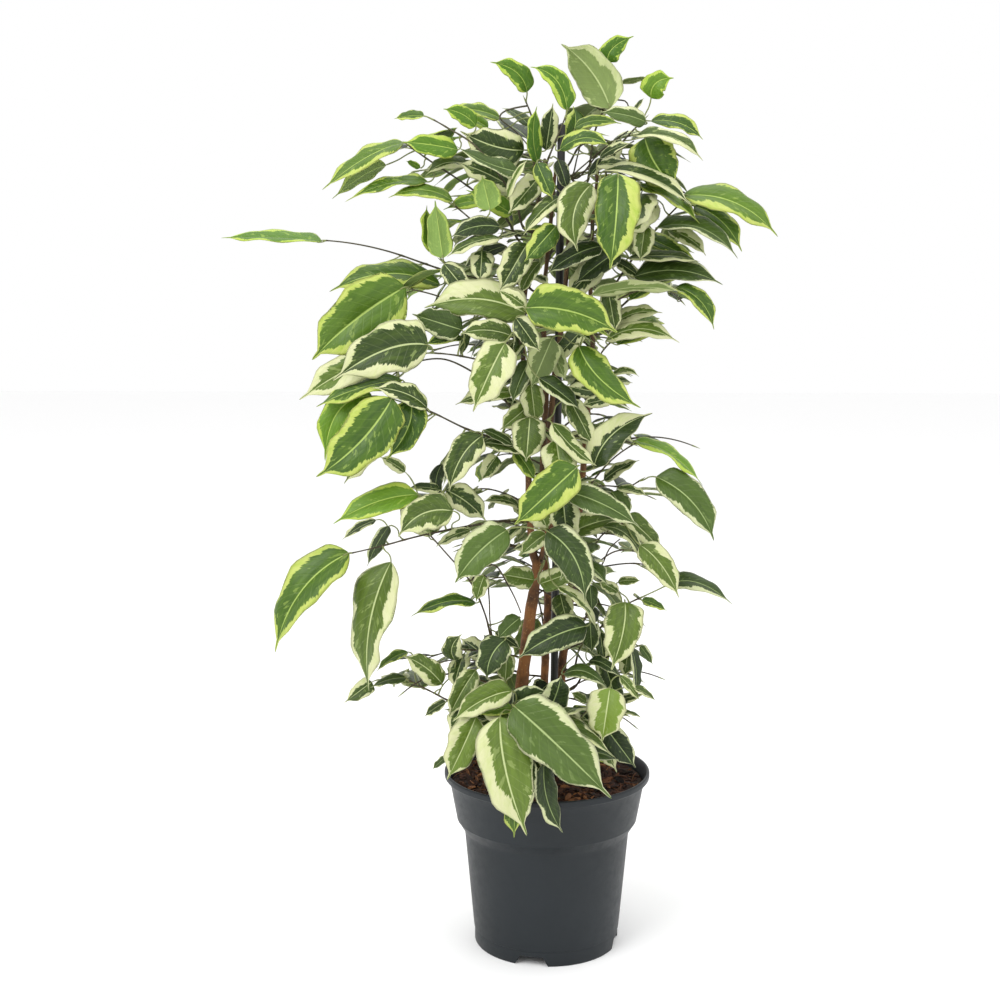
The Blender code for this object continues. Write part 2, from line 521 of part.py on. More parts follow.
def petiole_ring(place, heading, side, radius):
    """Three points round a place, in the plane across a heading: either side, and underneath."""
    side = (side - heading * side.dot(heading)).normalized()
    up = side.cross(heading)
    return (place - side * radius + up * radius * 0.5, place + side * radius + up * radius * 0.5, place - up * radius)


def petiole_faces(start, end):
    """The three flat sides between two parallel rings of three points."""
    return [(start + step, end + step, end + (step + 1) % 3, start + (step + 1) % 3) for step in range(3)]


def joint_faces(start, end):
    """Triangles from a petiole's ring of three points to the blade's first ring of four."""
    return [
        (start, end, end + 1), (start, end + 1, start + 1), (start + 1, end + 1, end + 2),
        (start + 1, end + 2, end + 3), (start + 1, end + 3, start + 2),
        (start + 2, end + 3, end), (start + 2, end, start),
    ]


def blade_faces(start, end):
    """Triangles between two rings of four points, split alike on both faces."""
    return [
        (start, end, start + 1), (start + 1, end, end + 1),
        (start + 1, end + 1, end + 2), (start + 1, end + 2, start + 2),
        (start + 2, end + 2, start + 3), (start + 3, end + 2, end + 3),
        (start + 3, end + 3, end), (start + 3, end, start),
    ]


def leaf_body(blade, root, stations, grow=0.0, with_petiole=True):
    """The closed body of a leaf: petiole from its root in the twig, then the blade."""
    along = (blade.tip - blade.base).normalized()
    start = (blade_point(blade, 0.1, 0.0) - blade.base).normalized()
    stalk = (blade.base - root).normalized()
    heading = (stalk + start * 0.4).normalized()
    side = along.cross(blade.face)
    radius = PETIOLE_RADIUS * MM + grow
    points, faces = [], []
    if with_petiole:
        points += petiole_ring(root, heading, side, radius)
        faces += petiole_faces(0, 3)
    joint = len(points)
    points += petiole_ring(blade.base, heading, side, radius)
    faces += [(0, 1, 2), *joint_faces(joint, joint + 3)]
    place = joint + 3
    for ring in blade_rings(blade, stations, grow):
        if len(points) > place:
            faces += blade_faces(place, place + 4)
            place += 4
        points += ring
    apex = len(points)
    points.append(blade.tip + along * grow)
    faces += [(place + step, apex, place + (step + 1) % 4) for step in range(4)]
    return points, faces


def tree_of(body):
    """A search tree over a body's triangles."""
    return BVHTree.FromPolygons([tuple(point) for point in body[0]], body[1])


# Placing


@dataclass
class Placed:
    """A solid already placed, for the test that nothing new crosses it."""

    node: str
    kind: str
    tree: BVHTree
    centre: Vector
    reach: float
    root: Vector = None


def sphere_of(points):
    """A centre and radius that hold all the points."""
    centre = sum(points, Vector()) / len(points)
    return centre, max((point - centre).length for point in points)


def placed(node, kind, body, root=None):
    """A Placed record of a body."""
    centre, reach = sphere_of([Vector(point) for point in body[0]])
    return Placed(node, kind, tree_of(body), centre, reach, root)


@dataclass(frozen=True)
class Twig:
    """A spray's twig: its smooth line, with a radius at each point."""

    name: str
    line: tuple
    radii: tuple


def tube_body(line, radii, sides):
    """Vertices and triangles of a tube, for the crossing test only."""
    points, faces = [], []
    for index, place in enumerate(line):
        heading = (line[min(index + 1, len(line) - 1)] - line[max(index - 1, 0)]).normalized()
        side = heading.orthogonal().normalized()
        up = heading.cross(side)
        for step in range(sides):
            angle = 2.0 * math.pi * step / sides
            points.append(place + (side * math.cos(angle) + up * math.sin(angle)) * radii[index])
    for index in range(len(line) - 1):
        for step in range(sides):
            a = index * sides + step
            b = index * sides + (step + 1) % sides
            faces += [(a, b, b + sides), (a, b + sides, a + sides)]
    return points, faces


def mesh_body(mesh):
    """Vertices and faces of a mesh."""
    return [vertex.co.copy() for vertex in mesh.vertices], [tuple(face.vertices) for face in mesh.polygons]


def stem_line(line):
    """A stem line's places and radii in metres."""
    places = [seen(column, row, depth) for column, row, depth, _ in line]
    return places, [radius * MM for *_, radius in line]


def stem_point(name, row):
    """The place, heading and radius of a stem where the picture shows it at a row, on its line nearest that row."""
    stem = next(stem for stem in STEMS if stem.name == name)
    return [line_point(line, row) for line in stem.lines if line[0][1] >= row >= line[-1][1]]


def line_point(line, row):
    """The place, heading and radius of one stem line at a picture row."""
    for low, high in zip(line, line[1:]):
        if low[1] >= row >= high[1]:
            share = (low[1] - row) / (low[1] - high[1])
            a, b = seen(*low[:3]), seen(*high[:3])
            return a.lerp(b, share), (b - a).normalized(), (low[3] + (high[3] - low[3]) * share) * MM
    return None


def twig_start(bark, place, out):
    """Where a twig leaves a stem outwards from its middle: a little off the bark and square to it."""
    hit, normal, _, _ = bark.ray_cast(place + out * PROBE * MM, -out)
    if normal.dot(out) < 0.0:
        normal = -normal
    return hit + normal * GAP * MM, normal


def twig_of(spray, barks, shift=0.0, turn=0.0):
    """The twig of a spray, its middle shifted in depth by millimetres."""
    first = seen(*spray.route[0])
    roots = stem_point(spray.stem, spray.row)
    place, heading, _ = min(roots, key=lambda root: (root[0] - first).length)
    out = first - place
    out = (out - heading * out.dot(heading)).normalized()
    start, out = twig_start(barks[spray.stem], place, Matrix.Rotation(turn, 3, heading) @ out)
    places = [start, start + out * 4.0 * MM]
    for index, (column, row, depth) in enumerate(spray.route):
        share = 1.0 if index < len(spray.route) - 1 else 0.4
        places.append(seen(column, row, depth + shift * share))
    return twig_through(spray.name, places)


def twig_through(name, places):
    """A twig along a smooth line through places, the first two of which lead straight out of the stem."""
    length = sum((b - a).length for a, b in zip(places, places[1:]))
    count = max(3, min(6, round(length / 0.026)))
    line = [places[0], *smooth_line(places[1:], count)]
    taper = (TWIG_TIP_RADIUS - TWIG_ROOT_RADIUS) / (len(line) - 1)
    radii = [(TWIG_ROOT_RADIUS + taper * index) * MM for index in range(len(line))]
    return Twig(name, tuple(line), tuple(radii))


def crosses(tree, centre, reach, others):
    """Whether a body crosses one of those already placed."""
    for other in others:
        if (centre - other.centre).length < reach + other.reach and tree.overlap(other.tree):
            return True
    return False


def crosses_itself(body):
    """Whether two faces of a body that share no corner cross."""
    tree = tree_of(body)
    faces = body[1]
    return any(not set(faces[a]) & set(faces[b]) for a, b in tree.overlap(tree) if a < b)


def try_order(step, count):
    """0, then steps out to either side in turn."""
    order = [0.0]
    for index in range(1, count + 1):
        order += [-step * index, step * index]
    return order


def clear_twig(make, world, behind=False):
    """The first twig of a row of tries that crosses nothing and, if asked, shows only where the plant does."""
    for turn in (0.0, 0.35, -0.35, 0.7, -0.7):
        for shift in try_order(4.0, 7):
            twig = make(shift, turn)
            if behind and not all(within_plant(point) for point in twig.line):
                continue
            body = tube_body(twig.line, [radius + CLEARANCE * MM for radius in twig.radii], 6)
            body = (body[0][6:], [tuple(v - 6 for v in face) for face in body[1] if min(face) >= 6])
            centre, reach = sphere_of(body[0])
            if not crosses(tree_of(body), centre, reach, world):
                return twig
    return None


def twig_places(twig):
    """Places along a twig where a petiole can root, with the distance from its start."""
    found = []
    run = 0.0
    for index in range(1, len(twig.line)):
        a, b = twig.line[index - 1], twig.line[index]
        steps = 6
        for step in range(1, steps + 1):
            found.append((a.lerp(b, step / steps), run + (b - a).length * step / steps))
        run += (b - a).length
    found[-1] = (twig.line[-2].lerp(twig.line[-1], 0.95), run)
    return [place for place in found if place[1] > 7.0 * MM]


def petiole_roots(blade, twigs, taken):
    """Roots for a blade's petiole, the best first: near, leading into the blade and clear of roots taken."""
    along = (blade.tip - blade.base).normalized()
    options = []
    for twig in twigs:
        best = None
        for place, _ in twig_places(twig):
            reach = blade.base - place
            distance = reach.length
            if distance < 3.0 * MM or any((place - root).length < ROOT_SPACING * MM for root in taken):
                continue
            cost = distance + 0.02 * max(0.0, -0.2 - reach.dot(along) / distance)
            if best is None or cost < best[0]:
                best = (cost, place, twig)
        if best and best[0] < LONG_PETIOLE * MM:
            options.append(best)
    return sorted(options, key=lambda option: option[0])[:4]


def arch_share(number):
    """How high a leaf arches, as a share of its length, drawn from a stream seeded by its number."""
    return random.Random(500 + number).uniform(0.05, 0.11)


def bends(number):
    """The fold, wave, phase and twist of a leaf, drawn from a stream seeded by its number."""
    draw = random.Random(1000 + number)
    return {
        "fold": draw.uniform(0.12, 0.34),
        "wave": draw.uniform(0.008, 0.022),
        "phase": draw.random(),
        "twist": draw.uniform(-0.35, 0.35),
    }


def stations_of(length):
    """The stations that a leaf of a length is built on."""
    if length > LARGE_LENGTH * MM:
        return LARGE_STATIONS
    return PLAIN_STATIONS if length > SMALL_LENGTH * MM else SMALL_STATIONS


def read_blade(number, leaf, shift, lean):
    """The blade of a leaf read from the photograph, its depth shifted by millimetres."""
    base = seen(*leaf.base, leaf.depth + shift)
    tip = seen(*leaf.tip, leaf.depth + shift + leaf.lean + lean)
    along = (tip - base).normalized()
    length = (tip - base).length
    toward = (EYE - base).normalized()
    side = along.cross(toward).normalized()
    face = side.cross(along)
    apparent = leaf.wide * metres_per_pixel(base.lerp(tip, 0.4))
    width = min(max(apparent, LEAF_WIDTH_SHARE * length), max(WIDEST_SHARE * length, apparent))
    roll = math.acos(min(1.0, apparent / width))
    if leaf.under:
        face = -face
    faces = [Matrix.Rotation(angle, 3, along) @ face for angle in (-roll, roll)]
    faces.sort(key=lambda vector: vector.z, reverse=not leaf.flip)
    bow = faces[0] * (arch_share(number) * length)
    if leaf.via:
        middle = seen(*leaf.via, leaf.depth + shift + (leaf.lean + lean) / 2.0)
        bow = middle - (base + tip) / 2.0 + toward * bow.dot(toward)
    return Blade(base, tip, faces[0], width, bow, **bends(number))


def clear_leaf(blades, twigs, world, strict=False):
    """The first blade and petiole of a row of tries that cross nothing, or else only leaves of their own spray."""
    spare = None
    taken = [other.root for other in world if other.root is not None]
    for blade in blades:
        stations = stations_of((blade.tip - blade.base).length)
        blade_only = leaf_body(blade, blade.base * 2 - blade.tip, stations, CLEARANCE * MM, with_petiole=False)
        blade_tree = tree_of(blade_only)
        centre, reach = sphere_of(blade_only[0])
        near = [other for other in world if (centre - other.centre).length < reach + other.reach]
        hit = {other.node for other in near if blade_tree.overlap(other.tree)}
        if len(hit) > 1:
            continue
        for _, root, twig in petiole_roots(blade, twigs, taken):
            if hit - {twig.name}:
                continue
            if any(other.kind == "twig" and blade_tree.overlap(other.tree) for other in near):
                continue
            whole = leaf_body(blade, root, stations, CLEARANCE * MM)
            whole_tree = tree_of(whole)
            ball = sphere_of(whole[0])
            if crosses(whole_tree, *ball, [other for other in world if other.node != twig.name]):
                continue
            if crosses_itself(leaf_body(blade, root, stations)):
                continue
            own = [other for other in world if other.node == twig.name and other.kind == "leaf"]
            stalk = (blade.base - root).normalized()
            outside = tree_of(leaf_body(blade, root + stalk * ROOT_DEPTH * MM, stations, CLEARANCE * MM))
            if not hit and not crosses(outside, *ball, own):
                return blade, root, twig
            if spare is None and not strict:
                spare = (blade, root, twig)
    return spare


@dataclass(frozen=True)
class Grown:
    """A leaf in its place: blade, petiole root and spray."""

    number: int
    blade: Blade
    root: Vector
    spray: str


def hidden_share(blade, screen):
    """The share of a blade that lies behind the leaves that the photograph shows, or 0 where it would show past."""
    places = [blade_point(blade, t, across) for t in (0.05, 0.3, 0.55, 0.8, 1.0) for across in (-0.9, 0.0, 0.9)]
    if not all(within_plant(point) for point in places):
        return 0.0
    rays = [point - EYE for point in places]
    return sum(screen.ray_cast(EYE, ray.normalized(), ray.length)[0] is not None for ray in rays) / len(rays)


def crown_reach(height):
    """How far the far side's twigs reach out of their stem at a height, in metres."""
    share = (height - FAR_LOWEST) / (FAR_HIGHEST - FAR_LOWEST)
    return 0.07 + 0.035 * math.sin(math.pi * min(1.0, 0.25 + 0.75 * share))


def far_places(index):
    """The places of a far-side twig: out of a stem, up a little, then drooping."""
    share = index / (FAR_SPRAYS - 1)
    height = FAR_LOWEST + (FAR_HIGHEST - FAR_LOWEST) * share
    angle = ((index * GOLDEN_ANGLE / math.pi) % 2.0 - 1.0) * FAR_SPREAD
    out = Vector((math.sin(angle), math.cos(angle), 0.0))
    name = "stem_back" if abs(angle) < math.radians(70) else ("stem_right" if angle > 0 else "stem_main")
    return height, out, name


def far_twig(index, barks, shift, turn):
    """A twig of the far side, its far end moved up or down by the shift."""
    height, out, name = far_places(index)
    out = Matrix.Rotation(turn, 3, "Z") @ out
    line = next(stem for stem in STEMS if stem.name == name).lines[0]
    rows = [low[1] + (high[1] - low[1]) * step / 12 for low, high in zip(line, line[1:]) for step in range(12)]
    place = min((line_point(line, row)[0] for row in rows), key=lambda found: abs(found.z - height))
    start, square = twig_start(barks[name], place, out)
    reach = crown_reach(height)
    lift = Vector((0.0, 0.0, 1.0))
    places = [
        start,
        start + square * 4.0 * MM,
        start + out * reach * 0.35 + lift * (0.020 + shift * 0.5 * MM),
        start + out * reach * 0.7 + lift * (0.026 + shift * MM),
        start + out * reach + lift * (0.014 + shift * MM),
    ]
    return twig_through(f"spray_far_{index + 1:02d}", places)


def hidden_blades(number, twig, place_index, side_sign):
    """Tries for a leaf that follows the rule of its twig: alternate, spreading and drooping."""
    draw = random.Random(number)
    places = twig_places(twig)
    place, run = places[place_index]
    ahead = (twig.line[-1] - twig.line[1]).normalized()
    side = ahead.cross(Vector((0.0, 0.0, 1.0))).normalized() * side_sign
    length = draw.uniform(0.050, 0.078)
    droop = draw.uniform(0.25, 0.75)
    spread = draw.uniform(0.5, 1.0)
    for turn in (0.0, 0.35, -0.35, 0.7, -0.7, 1.05):
        for drop in (0.0, 0.3, -0.3, 0.6):
            along = ahead * (1.1 - spread * 0.5) + side * spread - Vector((0.0, 0.0, droop + drop))
            along = (Matrix.Rotation(turn, 3, "Z") @ along).normalized()
            stalk = (side * 0.8 + ahead * 0.5 - Vector((0.0, 0.0, 0.15))).normalized()
            base = place + stalk * draw.uniform(0.009, 0.015)
            face = Vector((0.0, 0.0, 1.0)) + ahead * 0.35 + side * 0.25
            face = (face - along * face.dot(along)).normalized()
            bow = face * (arch_share(number) * length)
            yield Blade(base, base + along * length, face, length * draw.uniform(0.42, 0.5), bow, **bends(number))


def grow_plant(posts):
    """Twigs by name, and the leaves in their places, clear of the stems and the cane."""
    world = [placed(post.name, "post", mesh_body(post.data)) for post in posts]
    barks = {post.node: post.tree for post in world}
    world.append(placed("pot", "pot", pot_guard()))
    twigs = {}
    for spray in SPRAYS:
        twig = clear_twig(lambda shift, turn: twig_of(spray, barks, shift, turn), world)
        if twig is None:
            print("no clear twig for", spray.name)
            continue
        twigs[twig.name] = twig
        world.append(placed(twig.name, "twig", tube_body(twig.line, twig.radii, 4)))
    grown = []
    for number, leaf in enumerate(LEAVES):
        tries = [
            read_blade(number, leaf, shift, lean) for lean in (0.0, -10.0, 10.0, 20.0) for shift in try_order(4.0, 10)
        ]
        found = clear_leaf(tries, twigs.values(), world)
        if found is None:
            print("no clear place for leaf", number, leaf.base, leaf.tip)
            continue
        grown.append(set_leaf(number, found, world))
    screen_points, screen_faces = [], []
    for leaf in grown:
        points, faces = leaf_body(leaf.blade, leaf.root, stations_of((leaf.blade.tip - leaf.blade.base).length))
        screen_faces += [tuple(v + len(screen_points) for v in face) for face in faces]
        screen_points += [tuple(point) for point in points]
    screen = BVHTree.FromPolygons(screen_points, screen_faces)
    for index in range(FAR_SPRAYS):
        twig = clear_twig(lambda shift, turn: far_twig(index, barks, shift, turn), world, behind=True)
        if twig is None:
            print("no clear twig for the far side", index)
            continue
        twigs[twig.name] = twig
        world.append(placed(twig.name, "twig", tube_body(twig.line, twig.radii, 4)))
    grown += hidden_leaves(twigs, screen, world)
    return twigs, grown


def set_leaf(number, found, world):
    """Puts a leaf in the world and returns its record."""
    blade, root, twig = found
    stations = stations_of((blade.tip - blade.base).length)
    world.append(placed(twig.name, "leaf", leaf_body(blade, root, stations), root))
    return Grown(number, blade, root, twig.name)


def hidden_leaves(twigs, screen, world):
    """The leaves that the photograph doesn't show, by rule along every twig, the far side's first."""
    far = [twig for twig in twigs.values() if twig.name.startswith("spray_far_") and twig.name[-1].isdigit()]
    order = far + [twig for twig in twigs.values() if twig not in far]
    grown = []
    slots = []
    for rank, twig in enumerate(order):
        run = sum((b - a).length for a, b in zip(twig.line, twig.line[1:]))
        count = max(1, int(run / (LEAF_SPACING * MM)))
        for slot in range(count, 0, -1):
            slots.append((count - slot, rank, twig, slot / count))
    slots.sort(key=lambda slot: (slot[1] >= len(far), slot[0], slot[1]))
    for number, (_, rank, twig, share) in enumerate(slots):
        if len(grown) >= HIDDEN_LEAVES:
            break
        places = twig_places(twig)
        index = min(len(places) - 1, int(share * len(places)))
        sign = 1.0 if number % 2 else -1.0
        tries = [
            blade for blade in hidden_blades(5000 + number, twig, index, sign)
            if hidden_share(blade, screen) >= HIDDEN_SHARE
        ]
        found = clear_leaf(tries, [twig], world, strict=True)
        if found is not None:
            grown.append(set_leaf(5000 + number, found, world))
    return grown


# Pot and soil


def outer_profile():
    """The pot's outer side from the rim down to the foot, in millimetres."""
    return [
        (RIM_RADIUS - 1.3, POT_HEIGHT),
        (RIM_RADIUS, POT_HEIGHT - 1.3),
        (RIM_RADIUS, POT_HEIGHT - LIP_DEPTH + 1.6),
        (BAND_TOP_RADIUS, POT_HEIGHT - LIP_DEPTH),
        (BAND_FOOT_RADIUS, BAND_FOOT_HEIGHT),
        (BAND_FOOT_RADIUS - 1.4, BAND_FOOT_HEIGHT - 2.8),
        (BODY_TOP_RADIUS + 1.0, STEP_FOOT_HEIGHT + 1.4),
        (BODY_TOP_RADIUS, STEP_FOOT_HEIGHT - 1.6),
        (BODY_FOOT_RADIUS, FOOT_CREASE_HEIGHT + 0.6),
        (FOOT_RADIUS, FOOT_CREASE_HEIGHT - 0.6),
        (FOOT_RADIUS - 0.2, 0.0),
    ]


def inner_profile():
    """The pot's inner side from the floor's middle up to the rim, in millimetres."""
    return [
        (0.0, FLOOR_TOP),
        (BODY_FOOT_RADIUS - POT_WALL - 1.5, FLOOR_TOP),
        (BODY_FOOT_RADIUS - POT_WALL, FLOOR_TOP + 2.0),
        (BODY_TOP_RADIUS - POT_WALL, STEP_FOOT_HEIGHT - 0.6),
        (BAND_FOOT_RADIUS - POT_WALL, BAND_FOOT_HEIGHT + 0.6),
        (BAND_TOP_RADIUS - POT_WALL, POT_HEIGHT - LIP_DEPTH - 0.6),
        (RIM_RADIUS - 2.5, POT_HEIGHT),
    ]


def pot_guard():
    """The pot's wall as one open surface, for the crossing test only."""
    points, faces = [], []
    rows = outer_profile()
    for radius, height in rows:
        for step in range(TURNED_STEPS):
            angle = 2.0 * math.pi * step / TURNED_STEPS
            points.append(Vector((radius * MM * math.cos(angle), radius * MM * math.sin(angle), height * MM)))
    rows_inner = [(RIM_RADIUS - 2.5, POT_HEIGHT), (BAND_TOP_RADIUS - POT_WALL - 1.0, SOIL_TOP + 3.0), (1.0, SOIL_TOP + 3.0)]
    start = len(points)
    for radius, height in rows_inner:
        for step in range(TURNED_STEPS):
            angle = 2.0 * math.pi * step / TURNED_STEPS
            points.append(Vector((radius * MM * math.cos(angle), radius * MM * math.sin(angle), height * MM)))
    bands = [(row * TURNED_STEPS, (row + 1) * TURNED_STEPS) for row in range(len(rows) - 1)]
    bands += [(0, start), (start, start + TURNED_STEPS), (start + TURNED_STEPS, start + 2 * TURNED_STEPS)]
    for a, b in bands:
        for step in range(TURNED_STEPS):
            following = (step + 1) % TURNED_STEPS
            faces += [(a + step, a + following, b + following), (a + step, b + following, b + step)]
    return points, faces


def new_collection(name):
    """A collection in the scene."""
    collection = bpy.data.collections.new(name)
    bpy.context.scene.collection.children.link(collection)
    return collection


def material(name, color, roughness):
    """A Principled material of one colour."""
    made = bpy.data.materials.new(name)
    made.use_nodes = True
    shader = made.node_tree.nodes["Principled BSDF"]
    shader.inputs["Base Color"].default_value = (*color, 1.0)
    shader.inputs["Roughness"].default_value = roughness
    shader.inputs["Metallic"].default_value = 0.0
    made.diffuse_color = (*color, 1.0)
    return made


def mesh_object(name, points, faces, collection, finish=None):
    """An object from points and faces, its faces turned outwards."""
    mesh = bpy.data.meshes.new(name)
    mesh.from_pydata([tuple(point) for point in points], [], faces)
    shape = bmesh.new()
    shape.from_mesh(mesh)
    bmesh.ops.recalc_face_normals(shape, faces=shape.faces)
    shape.to_mesh(mesh)
    shape.free()
    made = bpy.data.objects.new(name, mesh)
    collection.objects.link(made)
    if finish is not None:
        mesh.materials.append(finish)
    return made


def turned(name, profile, collection, finish):
    """A solid turned about the Z axis from a profile in millimetres, down the outer side and up the inner."""
    mesh = bpy.data.meshes.new(name)
    edges = [(index, index + 1) for index in range(len(profile) - 1)]
    if profile[0][0] > 0.0 and profile[-1][0] > 0.0:
        edges.append((len(profile) - 1, 0))
    mesh.from_pydata([(radius * MM, 0.0, height * MM) for radius, height in profile], edges, [])
    made = bpy.data.objects.new(name, mesh)
    collection.objects.link(made)
    screw = made.modifiers.new("turn", "SCREW")
    screw.axis = "Z"
    screw.steps = TURNED_STEPS
    screw.render_steps = TURNED_STEPS
    screw.use_merge_vertices = True
    screw.merge_threshold = 0.00001
    mesh.materials.append(finish)
    return made


def applied(made):
    """The object with its modifiers applied, as a plain mesh under the same name."""
    graph = bpy.context.evaluated_depsgraph_get()
    mesh = bpy.data.meshes.new_from_object(made.evaluated_get(graph))
    made.modifiers.clear()
    old = made.data
    made.data = mesh
    if isinstance(old, bpy.types.Mesh):
        bpy.data.meshes.remove(old)
    return made


def cutter(name, collection):
    """Marks the active object as a cutter in the cutters' collection."""
    made = bpy.context.active_object
    made.name = name
    for owner in list(made.users_collection):
        owner.objects.unlink(made)
    collection.objects.link(made)
    made.hide_render = True
    made.display_type = "WIRE"
    return made


def subtract(made, collection):
    """Cuts every object of a collection out of an object, with the exact solver."""
    cut = made.modifiers.new("cut", "BOOLEAN")
    cut.operation = "DIFFERENCE"
    cut.operand_type = "COLLECTION"
    cut.collection = collection
    cut.solver = "EXACT"


def build_pot(parts, cutters, finish):
    """The grower's pot: thin wall, rolled rim, band, step, foot ring with notches and drain holes."""
    under = [
        (FOOT_RADIUS - 2.1, 0.0),
        (FOOT_RADIUS - 2.4, FLOOR_UNDERSIDE),
        (0.0, FLOOR_UNDERSIDE),
    ]
    profile = outer_profile() + under + inner_profile()
    mesh = bpy.data.meshes.new("pot")
    points = [(radius * MM, 0.0, height * MM) for radius, height in profile]
    edges = [(index, index + 1) for index in range(len(profile) - 1) if profile[index][0] or profile[index + 1][0]]
    edges.append((len(profile) - 1, 0))
    mesh.from_pydata(points, edges, [])
    pot = bpy.data.objects.new("pot", mesh)
    parts.objects.link(pot)
    mesh.materials.append(finish)
    screw = pot.modifiers.new("turn", "SCREW")
    screw.steps = TURNED_STEPS
    screw.render_steps = TURNED_STEPS
    screw.use_merge_vertices = True
    screw.merge_threshold = 0.00001
    screw.use_smooth_shade = True
    notch_top = FLOOR_UNDERSIDE + 1.2
    for index in range(FOOT_NOTCHES):
        angle = NOTCH_ANGLE + index * 2.0 * math.pi / FOOT_NOTCHES
        bpy.ops.mesh.primitive_cube_add(size=1.0)
        notch = cutter(f"notch_cutter_{index + 1}", cutters)
        for vertex in notch.data.vertices:
            low = vertex.co.z < 0.0
            vertex.co.x *= (NOTCH_WIDE if low else NOTCH_NARROW) * MM
            vertex.co.y *= 12.0 * MM
            vertex.co.z = -2.0 * MM if low else notch_top * MM
        middle = FOOT_RADIUS * MM
        notch.rotation_euler.z = angle
        notch.location = (middle * math.sin(angle), -middle * math.cos(angle), 0.0)
    for index in range(DRAIN_HOLES):
        angle = (index + 0.5) * 2.0 * math.pi / DRAIN_HOLES
        bpy.ops.mesh.primitive_cylinder_add(
            vertices=8,
            radius=DRAIN_RADIUS * MM,
            depth=8.0 * MM,
            location=(DRAIN_CIRCLE * MM * math.cos(angle), DRAIN_CIRCLE * MM * math.sin(angle), FLOOR_TOP * MM),
        )
        cutter(f"drain_cutter_{index + 1}", cutters)
    subtract(pot, cutters)
    return pot


def soil_height(x, y):
    """Height of the soil's lumpy top, in metres, by a formula of place."""
    wide = math.sin(x * 131.0 + 0.7) * math.cos(y * 117.0 - 0.4)
    small = math.sin(x * 290.0 - y * 211.0 + 1.1) * math.cos(y * 337.0 + x * 90.0)
    return (SOIL_TOP + SOIL_LUMP * (0.6 * wide + 0.5 * small)) * MM


def build_soil(parts, hole_cutters, finish):
    """The soil, a little clear of the pot, with a lumpy top and plain holes for the stems and the cane."""
    inner = inner_profile()
    side = [(radius - GAP, height + GAP) for radius, height in inner[1:5]]
    slope = (inner[5][0] - inner[4][0]) / (inner[5][1] - inner[4][1])
    top_radius = inner[4][0] + slope * (SOIL_TOP - inner[4][1]) - GAP
    rings = [0.0, 22.0, 42.0, 62.0]
    profile = [(radius, SOIL_TOP) for radius in rings] + [(top_radius, SOIL_TOP)] + side[::-1]
    profile.append((0.0, inner[0][1] + GAP))
    soil = applied(turned("potting_soil", profile, parts, finish))
    for vertex in soil.data.vertices:
        if vertex.co.z > (SOIL_TOP - 0.5) * MM:
            radius = math.hypot(vertex.co.x, vertex.co.y) / MM
            if radius < top_radius - 0.5:
                vertex.co.z = soil_height(vertex.co.x, vertex.co.y)
            else:
                vertex.co.z = (SOIL_TOP - 1.0) * MM
    shape = bmesh.new()
    shape.from_mesh(soil.data)
    bmesh.ops.recalc_face_normals(shape, faces=shape.faces)
    shape.to_mesh(soil.data)
    shape.free()
    subtract(soil, hole_cutters)
    return soil


def post_hole(name, place, foot, radius, collection):
    """A round upright hole in the soil for a stem or the cane."""
    top = POT_HEIGHT + 10.0
    bpy.ops.mesh.primitive_cylinder_add(
        vertices=8,
        radius=(radius + GAP) * MM / math.cos(math.pi / 8),
        depth=(top - foot + GAP) * MM,
        location=(place.x, place.y, (top + foot - GAP) * MM / 2.0),
    )
    return cutter(name, collection)


def tube(name, places, radii, resolution, collection, finish):
    """A tapered tube along places, made a closed mesh."""
    curve = bpy.data.curves.new(name, "CURVE")
    curve.dimensions = "3D"
    curve.bevel_depth = 1.0
    curve.bevel_resolution = resolution
    curve.use_fill_caps = True
    spline = curve.splines.new("POLY")
    spline.points.add(len(places) - 1)
    for point, place, radius in zip(spline.points, places, radii):
        point.co = (*place, 1.0)
        point.radius = radius
    drawn = bpy.data.objects.new(name + "_curve", curve)
    collection.objects.link(drawn)
    graph = bpy.context.evaluated_depsgraph_get()
    mesh = bpy.data.meshes.new_from_object(drawn.evaluated_get(graph))
    matrix = drawn.matrix_world.copy()
    bpy.data.objects.remove(drawn)
    bpy.data.curves.remove(curve)
    shape = bmesh.new()
    shape.from_mesh(mesh)
    bmesh.ops.remove_doubles(shape, verts=shape.verts, dist=0.00001)
    bmesh.ops.recalc_face_normals(shape, faces=shape.faces)
    shape.to_mesh(mesh)
    shape.free()
    mesh.name = name
    mesh.materials.clear()
    mesh.materials.append(finish)
    made = bpy.data.objects.new(name, mesh)
    made.matrix_world = matrix
    collection.objects.link(made)
    return made


def shell_volume(faces):
    """Signed volume inside a closed shell of faces."""
    total = 0.0
    for face in faces:
        first = face.verts[0].co
        for low, high in zip(face.verts[1:], face.verts[2:]):
            total += first.dot(low.co.cross(high.co)) / 6.0
    return total


def keep_main_shell(made):
    """Keeps an object's largest shell: a sealed hollow is filled and a loose scrap is dropped."""
    shape = bmesh.new()
    shape.from_mesh(made.data)
    waiting = set(shape.faces)
    shells = []
    while waiting:
        shell = [waiting.pop()]
        for face in shell:
            for edge in face.edges:
                for beside in edge.link_faces:
                    if len(edge.link_faces) == 2 and beside in waiting:
                        waiting.discard(beside)
                        shell.append(beside)
        shells.append(shell)
    shells.sort(key=shell_volume)
    for shell in shells[:-1]:
        bmesh.ops.delete(shape, geom=shell, context="FACES")
    shape.to_mesh(made.data)
    shape.free()


